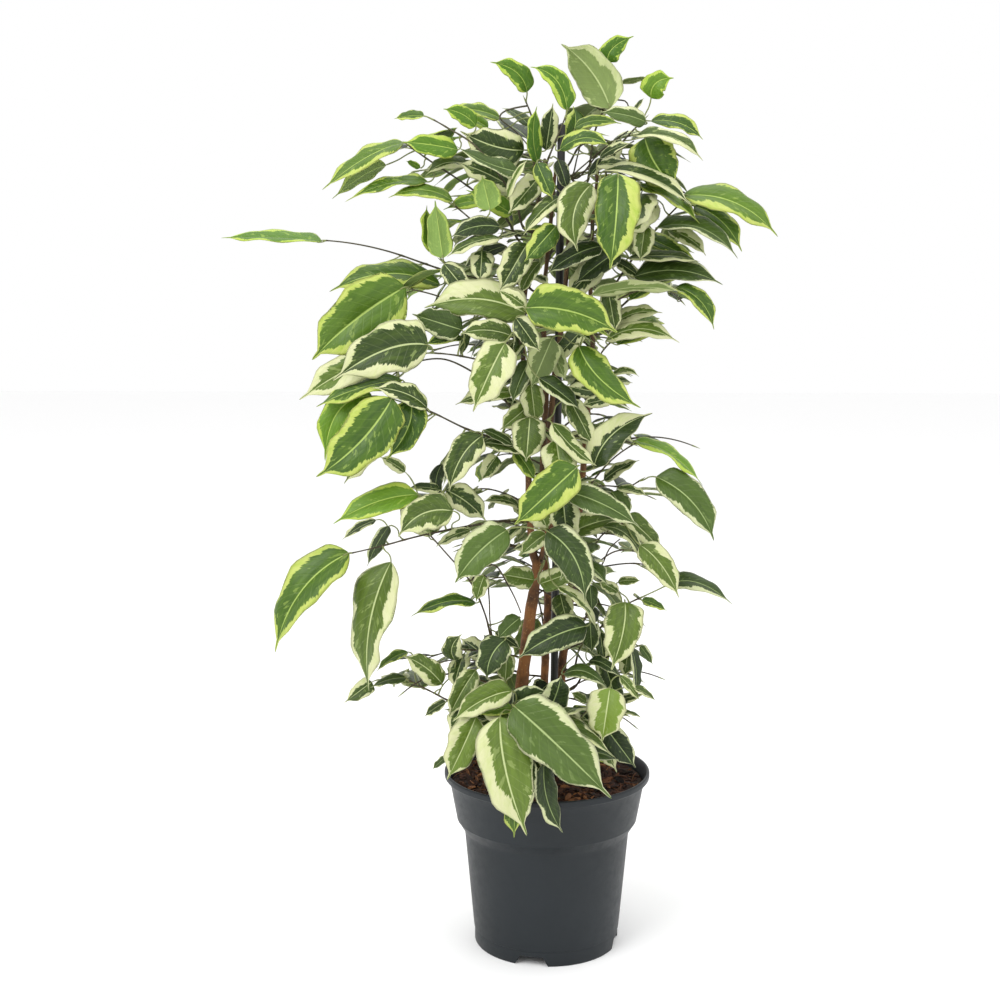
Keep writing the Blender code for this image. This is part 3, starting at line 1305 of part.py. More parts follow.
def without_slivers(made):
    """Draws together the tiny edges that a union leaves, as far as the piece stays closed."""
    for reach in SLIVER_REACHES:
        shape = bmesh.new()
        shape.from_mesh(made.data)
        bmesh.ops.remove_doubles(shape, verts=shape.verts, dist=reach * MM)
        same = {}
        for face in shape.faces:
            same.setdefault(frozenset(face.verts), []).append(face)
        flat = [face for faces in same.values() if len(faces) == 2 for face in faces]
        bmesh.ops.delete(shape, geom=flat, context="FACES")
        closed = all(edge.is_manifold for edge in shape.edges) and all(corner.is_manifold for corner in shape.verts)
        if closed:
            shape.to_mesh(made.data)
        shape.free()
        if closed:
            return


def fused(made, pieces):
    """Joins a collection of pieces to an object by one union, and removes them."""
    if pieces.objects:
        join = made.modifiers.new("join", "BOOLEAN")
        join.operation = "UNION"
        join.operand_type = "COLLECTION"
        join.collection = pieces
        join.solver = "MANIFOLD"
        applied(made)
        keep_main_shell(made)
        without_slivers(made)
    for piece in list(pieces.objects):
        mesh = piece.data
        bpy.data.objects.remove(piece)
        bpy.data.meshes.remove(mesh)
    bpy.data.collections.remove(pieces)
    return made


def build_stems(parts, hole_cutters, finish):
    """The woody stems: each upright in the soil, then along its line. A second line is fused in as a fork."""
    stems = []
    for stem in STEMS:
        forks = new_collection(stem.name + "_forks")
        for index, line in enumerate(stem.lines):
            places, radii = stem_line(line)
            if index == 0:
                foot = places[0]
                post_hole(stem.name + "_hole", foot, STEM_FOOT, line[0][3], hole_cutters)
                places = [
                    Vector((foot.x, foot.y, STEM_FOOT * MM)),
                    Vector((foot.x, foot.y, STRAIGHT_TOP * MM)),
                    *places[1:],
                ]
                radii = [radii[0], *radii]
                main = tube(stem.name, places, radii, 1, parts, finish)
            else:
                tube(f"{stem.name}_fork_{index}", places, radii, 1, forks, finish)
        stems.append(fused(main, forks))
    return stems


def build_cane(parts, hole_cutters, finish):
    """The thin support cane, from deep in the soil to the crown."""
    low, high = seen(*CANE[0]), seen(*CANE[1])
    post_hole("support_cane_hole", low, CANE_FOOT, CANE_RADIUS, hole_cutters)
    places = [
        Vector((low.x, low.y, CANE_FOOT * MM)),
        Vector((low.x, low.y, STRAIGHT_TOP * MM)),
        high,
    ]
    return tube("support_cane", places, [CANE_RADIUS * MM] * 3, 2, parts, finish)


def build_sprays(parts, posts, leaf_finish):
    """Each spray in one piece: its twig, with its leaves and petioles fused to it."""
    twigs, grown = grow_plant(posts)
    for twig in twigs.values():
        made = tube(twig.name, twig.line, twig.radii, 0, parts, leaf_finish)
        pieces = new_collection(twig.name + "_leaves")
        for leaf in grown:
            if leaf.spray == twig.name:
                stations = stations_of((leaf.blade.tip - leaf.blade.base).length)
                points, faces = leaf_body(leaf.blade, leaf.root, stations)
                mesh_object(f"leaf_{leaf.number}", points, faces, pieces, leaf_finish)
        fused(made, pieces)


def shift_to_centre(parts):
    """The move that brings the middle of the object's box over the origin."""
    bpy.context.view_layer.update()
    corners = []
    for made in parts.objects:
        mesh = made.evaluated_get(bpy.context.evaluated_depsgraph_get()).to_mesh()
        corners += [made.matrix_world @ vertex.co for vertex in mesh.vertices]
    middle_x = (min(c.x for c in corners) + max(c.x for c in corners)) / 2.0
    middle_y = (min(c.y for c in corners) + max(c.y for c in corners)) / 2.0
    return Vector((-middle_x, -middle_y, 0.0))


def main():
    """Builds the whole object."""
    for old in list(bpy.data.objects):
        bpy.data.objects.remove(old)
    parts = new_collection("potted_weeping_fig")
    cutters = new_collection("pot_cutters")
    hole_cutters = new_collection("soil_hole_cutters")
    for collection in (cutters, hole_cutters):
        collection.hide_render = True
    build_pot(parts, cutters, material("slate_grey_plastic", (0.045, 0.052, 0.058), 0.42))
    bark = material("fig_bark", (0.30, 0.145, 0.06), 0.75)
    posts = build_stems(parts, hole_cutters, bark)
    posts.append(build_cane(parts, hole_cutters, material("dark_cane", (0.012, 0.011, 0.014), 0.5)))
    build_soil(parts, hole_cutters, material("bark_soil", (0.055, 0.022, 0.012), 0.95))
    build_sprays(parts, posts, material("fig_leaf", (0.10, 0.20, 0.045), 0.4))
    shift = shift_to_centre(parts)
    for made in [*parts.objects, *cutters.objects, *hole_cutters.objects]:
        made.location += shift


main()
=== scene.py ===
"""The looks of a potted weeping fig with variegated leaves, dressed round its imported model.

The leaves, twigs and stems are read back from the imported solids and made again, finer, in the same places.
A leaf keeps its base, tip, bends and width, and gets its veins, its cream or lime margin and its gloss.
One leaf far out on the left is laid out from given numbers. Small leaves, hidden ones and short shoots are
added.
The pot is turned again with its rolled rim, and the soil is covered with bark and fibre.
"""

import itertools
import json
import logging
import math
import random
from collections.abc import Callable, Sequence
from dataclasses import dataclass, field
from enum import Enum

import bmesh
import bpy
from mathutils import Matrix, Vector, noise

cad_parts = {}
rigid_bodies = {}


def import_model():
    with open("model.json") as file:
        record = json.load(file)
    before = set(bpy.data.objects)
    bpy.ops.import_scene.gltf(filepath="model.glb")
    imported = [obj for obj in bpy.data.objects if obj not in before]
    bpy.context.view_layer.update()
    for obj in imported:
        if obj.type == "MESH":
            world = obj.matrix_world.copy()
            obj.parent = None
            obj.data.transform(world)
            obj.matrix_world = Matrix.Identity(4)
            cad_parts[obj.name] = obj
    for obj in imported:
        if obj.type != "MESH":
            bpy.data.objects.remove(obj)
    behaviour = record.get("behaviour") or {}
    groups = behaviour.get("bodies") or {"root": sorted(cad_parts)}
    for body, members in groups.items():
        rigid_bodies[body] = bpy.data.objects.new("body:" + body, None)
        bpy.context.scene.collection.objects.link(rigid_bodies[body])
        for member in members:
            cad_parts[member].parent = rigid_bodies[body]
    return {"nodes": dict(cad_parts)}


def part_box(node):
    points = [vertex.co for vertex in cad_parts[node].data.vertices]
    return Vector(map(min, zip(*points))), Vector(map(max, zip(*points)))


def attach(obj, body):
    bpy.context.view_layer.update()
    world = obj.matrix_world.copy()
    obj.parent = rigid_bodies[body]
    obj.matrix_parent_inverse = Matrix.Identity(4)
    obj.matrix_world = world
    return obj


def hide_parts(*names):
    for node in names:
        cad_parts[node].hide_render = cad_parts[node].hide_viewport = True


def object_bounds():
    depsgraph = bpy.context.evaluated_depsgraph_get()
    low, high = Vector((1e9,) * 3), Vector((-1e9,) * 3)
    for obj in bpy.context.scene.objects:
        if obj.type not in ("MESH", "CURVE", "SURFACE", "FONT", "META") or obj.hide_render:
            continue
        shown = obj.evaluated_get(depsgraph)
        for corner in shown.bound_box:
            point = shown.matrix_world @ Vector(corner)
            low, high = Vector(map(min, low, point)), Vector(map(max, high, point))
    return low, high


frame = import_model()
CAD_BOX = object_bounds()

LOG = logging.getLogger("weeping_fig")
MM = 0.001
BODY = "root"
PLAIN_TONE = {"leaf_seed": 0.0, "leaf_tone": 0.5, "leaf_skew": 0.0}
PLACE_LAYER = "surface_place"
UP = Vector((0.0, 0.0, 1.0))

Socket = bpy.types.NodeSocket
Ring = tuple[Vector, float]
Place = tuple[float, float]


# Colour and node helpers


def linear(code: str) -> tuple[float, float, float, float]:
    """Turns an sRGB hex colour to linear red, green, blue and full alpha."""
    parts = [int(code[place:place + 2], 16) / 255.0 for place in (1, 3, 5)]
    curve = [part / 12.92 if part <= 0.04045 else ((part + 0.055) / 1.055) ** 2.4 for part in parts]
    return (curve[0], curve[1], curve[2], 1.0)


def add_node(
    tree: bpy.types.NodeTree,
    kind: str,
    settings: dict[str, object] | None = None,
    inputs: dict[object, object] | None = None,
) -> bpy.types.Node:
    """Adds a node with its settings and links.

    Args:
        tree: The material's node tree.
        kind: The node's type name.
        settings: The node's own options by name.
        inputs: A value, or the output socket to link, by the input's name or number.

    Returns:
        The new node.
    """
    node = tree.nodes.new(kind)
    for name, value in (settings or {}).items():
        setattr(node, name, value)
    for key, value in (inputs or {}).items():
        if isinstance(value, Socket):
            tree.links.new(value, node.inputs[key])
        else:
            node.inputs[key].default_value = value
    return node


class NodeKit:
    """A material in the making, with short calls for the nodes that the finishes share."""

    def __init__(self, name: str) -> None:
        """Starts a material of a name with a Principled shader."""
        self.made = bpy.data.materials.new(name)
        self.made.use_nodes = True
        self.tree = self.made.node_tree
        self.shader = self.tree.nodes["Principled BSDF"]

    def math(self, operation: str, *values: object, clamp: bool = False) -> Socket:
        """Adds a sum of up to three values or sockets."""
        settings = {"operation": operation, "use_clamp": clamp}
        return add_node(self.tree, "ShaderNodeMath", settings, dict(enumerate(values))).outputs[0]

    def span(
        self, value: Socket, low: float, high: float,
        start: float = 0.0, end: float = 1.0, smooth: bool = False,
    ) -> Socket:
        """Maps a value between two limits to another span, held at both ends.

        Args:
            value: What is mapped.
            low: The value that gives the start.
            high: The value that gives the end.
            start: The result at the low limit.
            end: The result at the high limit.
            smooth: Whether it eases in and out.

        Returns:
            The result.
        """
        settings = {"interpolation_type": "SMOOTHSTEP" if smooth else "LINEAR"}
        inputs = {"Value": value, "From Min": low, "From Max": high, "To Min": start, "To Max": end}
        return add_node(self.tree, "ShaderNodeMapRange", settings, inputs).outputs[0]

    def blend(self, share: Socket | float, low: Socket | str, high: Socket | str) -> Socket:
        """Mixes two colours, each a socket or a hex code, by a share of the second."""
        ends = [linear(colour) if isinstance(colour, str) else colour for colour in (low, high)]
        inputs = {0: share, 6: ends[0], 7: ends[1]}
        return add_node(self.tree, "ShaderNodeMix", {"data_type": "RGBA"}, inputs).outputs[2]

    def noise(
        self, place: Socket | None, scale: float, detail: float, roughness: float = 0.5, flat: bool = False
    ) -> Socket:
        """Adds a noise.

        Args:
            place: Where it is read, or None for the surface's own place.
            scale: How fine it is.
            detail: How many finer layers it has.
            roughness: How strong those are.
            flat: Whether it is read in two dimensions only.

        Returns:
            Its value.
        """
        inputs = {"Scale": scale, "Detail": detail, "Roughness": roughness}
        if place is not None:
            inputs["Vector"] = place
        return add_node(
            self.tree, "ShaderNodeTexNoise", {"noise_dimensions": "2D" if flat else "3D"}, inputs
        ).outputs[0]

    def parts(self, place: Socket) -> list[Socket]:
        """Splits a place into its three numbers."""
        return list(add_node(self.tree, "ShaderNodeSeparateXYZ", None, {0: place}).outputs)

    def joined(self, *parts: object) -> Socket:
        """Joins three numbers into a place."""
        return add_node(self.tree, "ShaderNodeCombineXYZ", None, dict(enumerate(parts))).outputs[0]

    def scaled(self, place: Socket, factors: tuple[float, float, float]) -> Socket:
        """Multiplies a place, axis by axis."""
        inputs = {0: place, 1: factors}
        return add_node(self.tree, "ShaderNodeVectorMath", {"operation": "MULTIPLY"}, inputs).outputs[0]

    def own(self, name: str) -> Socket:
        """Reads the value of that name that each corner holds."""
        return add_node(self.tree, "ShaderNodeAttribute", {"attribute_name": name}).outputs["Fac"]

    def where(self) -> Socket:
        """Reads the place in the object's own space."""
        return add_node(self.tree, "ShaderNodeTexCoord").outputs["Object"]

    def bump(self, height: Socket, strength: float, distance: float, invert: bool = False) -> None:
        """Gives the shader a relief, its distance in metres."""
        inputs = {"Height": height, "Strength": strength, "Distance": distance}
        bump = add_node(self.tree, "ShaderNodeBump", {"invert": invert}, inputs)
        self.tree.links.new(bump.outputs[0], self.shader.inputs["Normal"])

    def close(self, inputs: dict[str, object]) -> bpy.types.Material:
        """Sets or links the shader's inputs by name and gives the material."""
        for name, value in inputs.items():
            if isinstance(value, Socket):
                self.tree.links.new(value, self.shader.inputs[name])
            else:
                self.shader.inputs[name].default_value = value
        return self.made


# The photograph's view


@dataclass(frozen=True)
class PhotoView:
    """The eye that looks at the pot's axis from the front, turned and pitched as in the photograph."""

    axis: Vector
    distance: float = 1.260
    height: float = 0.556
    pitch: float = math.radians(8.3)
    yaw: float = math.radians(1.77)
    focal_pixels: float = 1570.0
    picture_size: int = 1000
    sensor_width: float = 36.0

    @property
    def eye(self) -> Vector:
        """The eye's place."""
        return self.axis + Vector((0.0, -self.distance, self.height))

    @property
    def forward(self) -> Vector:
        """The direction of sight."""
        flat = math.cos(self.pitch)
        return Vector((-math.sin(self.yaw) * flat, math.cos(self.yaw) * flat, -math.sin(self.pitch)))

    @property
    def right(self) -> Vector:
        """The picture's direction to the right."""
        return Vector((math.cos(self.yaw), math.sin(self.yaw), 0.0))

    @property
    def up(self) -> Vector:
        """The picture's upward direction."""
        return self.right.cross(self.forward)

    def seen(self, column: float, row: float, depth: float) -> Vector:
        """Finds the point that the picture shows at a place.

        Args:
            column: Picture column.
            row: Picture row.
            depth: Millimetres behind the pot's axis.

        Returns:
            The point.
        """
        middle = self.picture_size / 2
        ray = self.forward * self.focal_pixels + self.right * (column - middle) + self.up * (middle - row)
        return self.eye + ray * ((self.axis.y + depth * MM - self.eye.y) / ray.y)

    def place(self, point: Vector) -> tuple[float, float]:
        """Finds the picture column and row at which a point shows.

        Args:
            point: The point.

        Returns:
            Column and row.
        """
        ray = point - self.eye
        scale = self.focal_pixels / ray.dot(self.forward)
        middle = self.picture_size / 2
        return middle + ray.dot(self.right) * scale, middle - ray.dot(self.up) * scale

    def build_camera(self) -> None:
        """Makes the scene's camera."""
        data = bpy.data.cameras.new("photo_camera")
        data.sensor_width = self.sensor_width
        data.lens = self.sensor_width * self.focal_pixels / self.picture_size
        camera = bpy.data.objects.new("photo_camera", data)
        turn = Matrix((self.right, self.up, -self.forward)).transposed()
        camera.matrix_world = Matrix.Translation(self.eye) @ turn.to_4x4()
        bpy.context.scene.collection.objects.link(camera)
        bpy.context.scene.camera = camera


# Curves and meshes


class SmoothCurve:
    """A smooth curve through values at rising knots."""

    def __init__(self, knots: Sequence[float], values: Sequence[Vector]) -> None:
        """Keeps the knots and works out the slope at each.

        Args:
            knots: Rising numbers.
            values: The value at each knot.
        """
        self.knots = list(knots)
        self.values = list(values)
        steps = [(b - a) / (t - s) for a, b, s, t in zip(values, values[1:], knots, knots[1:])]
        spans = [t - s for s, t in zip(knots, knots[1:])]
        slopes = [
            (low * wide + high * narrow) / (narrow + wide)
            for low, high, narrow, wide in zip(steps, steps[1:], spans, spans[1:])
        ]
        first = steps[0] * 2.0 - slopes[0] if slopes else steps[0]
        last = steps[-1] * 2.0 - slopes[-1] if slopes else steps[-1]
        self.slopes = [first, *slopes, last]

    def at(self, t: float) -> Vector:
        """Reads the curve, held at its ends outside its knots.

        Args:
            t: The place along it.

        Returns:
            The value there.
        """
        t = min(max(t, self.knots[0]), self.knots[-1])
        start = max(index for index in range(len(self.knots) - 1) if self.knots[index] <= t or index == 0)
        span = self.knots[start + 1] - self.knots[start]
        u = (t - self.knots[start]) / span
        square, cube = u * u, u * u * u
        return (
            self.values[start] * (2.0 * cube - 3.0 * square + 1.0)
            + self.slopes[start] * (span * (cube - 2.0 * square + u))
            + self.values[start + 1] * (3.0 * square - 2.0 * cube)
            + self.slopes[start + 1] * (span * (cube - square))
        )


def curve_through(points: Sequence[Vector]) -> tuple[SmoothCurve, float]:
    """Lays a smooth curve through points, with its knots at their distance along it.

    Args:
        points: The points.

    Returns:
        The curve and its length.
    """
    knots = [0.0]
    for low, high in zip(points, points[1:]):
        knots.append(knots[-1] + max((high - low).length, 0.00001))
    return SmoothCurve(knots, points), knots[-1]


def spaced(line: SmoothCurve, length: float, count: int) -> list[Vector]:
    """Gives points at even distances along a line of a length, both ends among them."""
    return [line.at(length * step / count) for step in range(count + 1)]


def hump(off: float, width: float) -> float:
    """Gives 1 where the offset is nothing, and falls off smoothly over a width to either side."""
    share = off / width
    return math.exp(-share * share)


@dataclass
class Mesh:
    """Points and faces on their way to an object, with a material number for each face and named values."""

    points: list[Vector] = field(default_factory=list)
    faces: list[tuple[int, ...]] = field(default_factory=list)
    slots: list[int] = field(default_factory=list)
    places: list[Place] = field(default_factory=list)
    values: dict[str, list[float]] = field(default_factory=dict)

    def add(
        self,
        points: Sequence[Vector],
        faces: Sequence[tuple[int, ...]],
        slots: Sequence[int],
        places: Sequence[Place] | None = None,
        **values: float | Sequence[float],
    ) -> None:
        """Adds a body.

        Args:
            points: Its points.
            faces: Its faces, by number within the body.
            slots: A material number for each face.
            places: Each point's place on the surface.
            values: A value for the whole body, or one for each point, by name.
        """
        start = len(self.points)
        self.points += points
        self.faces += [tuple(corner + start for corner in face) for face in faces]
        self.slots += slots
        self.places += places or [(0.0, 0.0)] * len(points)
        for name, value in values.items():
            row = self.values.setdefault(name, [])
            row += [value] * len(points) if isinstance(value, (int, float)) else list(value)

    def add_tube(
        self,
        centres: Sequence[Vector],
        radii: Sequence[float],
        sides: int,
        slot: int = 0,
        rough: Callable[[int, int], float] | None = None,
        **values: float,
    ) -> None:
        """Adds a tube in one material.

        Args:
            centres: The middles of its rings.
            radii: The radius at each.
            sides: How many sides it has.
            slot: Its material number.
            rough: A factor on the radius for a ring and a side.
            values: A value for the whole tube, by name.
        """
        points, faces, places = tube_body(centres, radii, sides, rough)
        self.add(points, faces, [slot] * len(faces), places, **values)

    def build(self, name: str, materials: Sequence[bpy.types.Material]) -> bpy.types.Object:
        """Makes the object.

        Args:
            name: Its name.
            materials: Its materials in order.

        Returns:
            The object, in the scene.
        """
        mesh = bpy.data.meshes.new(name)
        mesh.from_pydata([tuple(point) for point in self.points], [], self.faces)
        for made in materials:
            mesh.materials.append(made)
        mesh.polygons.foreach_set("material_index", self.slots)
        mesh.polygons.foreach_set("use_smooth", [True] * len(self.faces))
        layer = mesh.uv_layers.new(name=PLACE_LAYER)
        corners = [0] * len(mesh.loops)
        mesh.loops.foreach_get("vertex_index", corners)
        layer.uv.foreach_set("vector", [part for corner in corners for part in self.places[corner]])
        for value_name, row in self.values.items():
            attribute = mesh.attributes.new(value_name, "FLOAT", "POINT")
            attribute.data.foreach_set("value", row)
        mesh.update()
        made = bpy.data.objects.new(name, mesh)
        bpy.context.scene.collection.objects.link(made)
        return made


def ring_frames(centres: Sequence[Vector]) -> list[tuple[Vector, Vector]]:
    """Finds two directions across a line at each of its points, turned as little as can be.

    Args:
        centres: The line's points.

    Returns:
        A side and an up direction for each point.
    """
    found = []
    side = None
    for index in range(len(centres)):
        heading = (centres[min(index + 1, len(centres) - 1)] - centres[max(index - 1, 0)]).normalized()
        side = heading.orthogonal() if side is None else side - heading * side.dot(heading)
        side.normalize()
        found.append((side.copy(), heading.cross(side)))
    return found


def tube_body(
    centres: Sequence[Vector],
    radii: Sequence[float],
    sides: int,
    rough: Callable[[int, int], float] | None = None,
) -> tuple[list[Vector], list[tuple[int, ...]], list[Place]]:
    """Makes a closed tube along a line, with a rounded point at either end.

    Args:
        centres: The line's points.
        radii: The radius at each.
        sides: How many sides it has.
        rough: A factor on the radius for a ring and a side.

    Returns:
        Its points, its faces, and each point's place round and along it in metres.
    """
    frames = ring_frames(centres)
    points, places = [], []
    run = 0.0
    for index, (centre, radius) in enumerate(zip(centres, radii)):
        run += (centre - centres[index - 1]).length if index else 0.0
        side, up = frames[index]
        for step in range(sides):
            angle = 2.0 * math.pi * step / sides
            reach = radius * (rough(index, step) if rough else 1.0)
            points.append(centre + (side * math.cos(angle) + up * math.sin(angle)) * reach)
            places.append((step / sides, run))
    faces = []
    for index in range(len(centres) - 1):
        for step in range(sides):
            a = index * sides + step
            b = index * sides + (step + 1) % sides
            faces.append((a, b, b + sides, a + sides))
    for ring, inner, turn in ((0, 1, True), (len(centres) - 1, len(centres) - 2, False)):
        out = (centres[ring] - centres[inner]).normalized()
        points.append(centres[ring] + out * radii[ring] * 0.6)
        places.append((0.5, run if ring else 0.0))
        for step in range(sides):
            a = ring * sides + step
            b = ring * sides + (step + 1) % sides
            faces.append((b, a, len(points) - 1) if turn else (a, b, len(points) - 1))
    return points, faces, places


# Leaves


class LeafKind(Enum):
    """How a leaf is coloured."""

    MATURE = "mature"
    DEEP = "deep"
    CREAMY = "creamy"
    YOUNG = "young"
    BRIGHT = "bright"


def half_width_share(t: float) -> float:
    """Gives a blade's half width at a share of its length, as a share of its widest, as in the solids."""
    body = math.sin(math.pi * min(1.0, t / 0.93) ** 0.74) ** 0.86 if t < 0.93 else 0.0
    return max(body * (1.0 - 0.16 * t), 0.075 * (1.0 - t) / 0.13 if t > 0.87 else 0.0)


@dataclass(frozen=True)
class Blade:
    """A leaf blade in space: its midrib, how far its halves reach from it, and where its petiole roots."""

    midrib: SmoothCurve
    halves: tuple[SmoothCurve, SmoothCurve]
    top: float
    root: Vector
    seed: int
    length: float

    def heading(self, t: float) -> Vector:
        """Gives the midrib's direction at a share of the length."""
        return (self.midrib.at(t + 0.02) - self.midrib.at(t - 0.02)).normalized()

    def normal(self, t: float) -> Vector:
        """Gives the direction that the blade's top faces at a share of the length."""
        across = self.halves[1].at(t) - self.halves[0].at(t)
        return across.cross(self.heading(t)).normalized() * self.top


def blade_between(
    base: Vector, tip: Vector, face: Vector, width: float, bow: Vector, root: Vector, seed: int
) -> Blade:
    """Lays out a blade from its ends.

    Args:
        base: Where the petiole joins it.
        tip: Its tip.
        face: The way its top faces.
        width: Its full width.
        bow: How far its middle is off the straight line.
        root: Where the petiole leaves the twig.
        seed: The number that its bends are drawn from.

    Returns:
        The blade.
    """
    draw = random.Random(seed)
    fold = draw.uniform(0.14, 0.34)
    twist = draw.uniform(-0.35, 0.35)
    length = (tip - base).length
    stations = (0.0, 0.25, 0.5, 0.75, 1.0)
    midrib = SmoothCurve(stations, [base.lerp(tip, t) + bow * (4.0 * t * (1.0 - t)) for t in stations])
    left, right = [], []
    for t in stations:
        heading = ((tip - base) + bow * (4.0 - 8.0 * t)).normalized()
        side = heading.cross(face).normalized()
        side = Matrix.Rotation(twist * (t - 0.3), 3, heading) @ side
        rise = side.cross(heading) * (0.5 * width * math.sin(fold))
        left.append(side * (-0.5 * width * math.cos(fold)) + rise)
        right.append(side * (0.5 * width * math.cos(fold)) + rise)
    return Blade(midrib, (SmoothCurve(stations, left), SmoothCurve(stations, right)), 1.0, root, seed, length)


@dataclass(frozen=True)
class LeafForm:
    """How finely a blade is made, and its relief, in millimetres or shares of its length."""

    rows: int = 24
    across: tuple[float, ...] = (0.05, 0.16, 0.38, 0.62, 0.84)
    half_thickness: float = 0.16
    rib_height: float = 0.42
    rib_width: float = 0.06
    crown: float = 0.07
    margin_droop: float = 0.13
    edge_wave: float = 0.019
    scallop: float = 0.035
    shoulder: float = 0.5
    shoulder_at: float = 0.76
    shoulder_width: float = 0.12
    foot_fullness: float = 0.22
    foot_at: float = 0.09
    foot_width: float = 0.09
    drip_tip: float = 0.26
    tip_share: float = 0.985

    def stations(self) -> list[float]:
        """Gives the shares of the length at which rows lie, closer together at both ends."""
        return [
            0.004 + (self.tip_share - 0.004) * (0.5 - 0.5 * math.cos(math.pi * row / (self.rows - 1))) * 0.6
            + (self.tip_share - 0.004) * (row / (self.rows - 1)) * 0.4
            for row in range(self.rows)
        ]

    def add_blade(self, mesh: Mesh, blade: Blade, kind_number: int, tone: float, skew: float) -> None:
        """Adds a blade, closed, with its top and underside in two materials.

        Args:
            mesh: Where it goes.
            blade: The blade.
            kind_number: The number of its kind, two materials each.
            tone: How light it is, from 0 to 1, painted shade and painted sheen included.
            skew: How much further its green reaches on the right half than on the left.
        """
        draw = random.Random(blade.seed + 7)
        waves = (draw.uniform(1.6, 2.6), draw.random(), draw.random(), draw.uniform(0.6, 1.25))
        lean = draw.uniform(0.94, 1.06)
        steps = [-part for part in reversed(self.across)] + [0.0] + list(self.across)
        row_size = 2 * len(steps) + 2
        points, places = [], []
        for t in self.stations():
            fuller = 1.0 + self.shoulder * hump(t - self.shoulder_at, self.shoulder_width)
            fuller += self.foot_fullness * hump(t - self.foot_at, self.foot_width)
            share = half_width_share(t) * fuller
            share = max(share, self.drip_tip * math.sqrt(1.0 - t) if t > 0.8 else 0.0)
            middle = blade.midrib.at(t)
            normal = blade.normal(t)
            uneven = [
                1.0 + self.scallop * (math.sin(2.0 * math.pi * (2.7 * t + waves[way])) + 0.5 * math.sin(
                    2.0 * math.pi * (6.1 * t + waves[3 - way])
                ))
                for way in (1, 2)
            ]
            left, right = blade.halves[0].at(t), blade.halves[1].at(t)
            spans = {-1: left * (share * lean * uneven[0]), 1: right * (share / lean * uneven[1])}
            top_row, under_row = [], []
            for step in [-1.0, *steps, 1.0]:
                reach = abs(step)
                span = spans[-1 if step < 0.0 else 1]
                wave = math.sin(2.0 * math.pi * (waves[0] * t + waves[1 if step < 0.0 else 2]))
                wave *= self.edge_wave * waves[3] * blade.length * reach ** 3 * min(1.0, share * 1.6)
                arch = self.crown * 4.0 * reach * (1.0 - reach)
                crown = span.length * (arch - self.margin_droop * reach * reach)
                place = middle + span * reach + normal * (wave + crown)
                thick = self.half_thickness * MM * min(1.0, share * 4.0)
                rib = hump(reach, self.rib_width) * self.rib_height * MM * (1.0 - 0.75 * t)
                if reach == 1.0:
                    points_at = [place]
                else:
                    points_at = [place + normal * (thick - 0.25 * rib), place - normal * (thick + rib)]
                top_row.append(points_at[0])
                under_row.append(points_at[-1])
            points += top_row + under_row[1:-1]
            places += [(t, 0.5 + 0.5 * step) for step in [-1.0, *steps, 1.0]]
            places += [(t, 0.5 + 0.5 * step) for step in steps]
        apex = len(points)
        points.append(blade.midrib.at(1.0))
        places.append((1.0, 0.5))
        foot = len(points)
        points.append(blade.midrib.at(0.0))
        places.append((0.0, 0.5))
        count = len(steps) + 2
        ring = list(range(count)) + [count - 1 + place for place in range(len(steps), 0, -1)]
        faces, slots = [], []
        for row in range(self.rows - 1):
            a, b = row * row_size, (row + 1) * row_size
            for place in range(len(ring)):
                low, high = ring[place], ring[(place + 1) % len(ring)]
                faces.append((a + low, a + high, b + high, b + low))
                slots.append(2 * kind_number + (0 if place < count - 1 else 1))
        last = (self.rows - 1) * row_size
        for place in range(len(ring)):
            low, high = ring[place], ring[(place + 1) % len(ring)]
            side = 0 if place < count - 1 else 1
            faces += [(last + low, last + high, apex), (high, low, foot)]
            slots += [2 * kind_number + side] * 2
        if blade.top < 0.0:
            faces = [face[::-1] for face in faces]
        seed = float(blade.seed % 97)
        mesh.add(points, faces, slots, places, leaf_seed=seed, leaf_tone=tone, leaf_skew=skew)


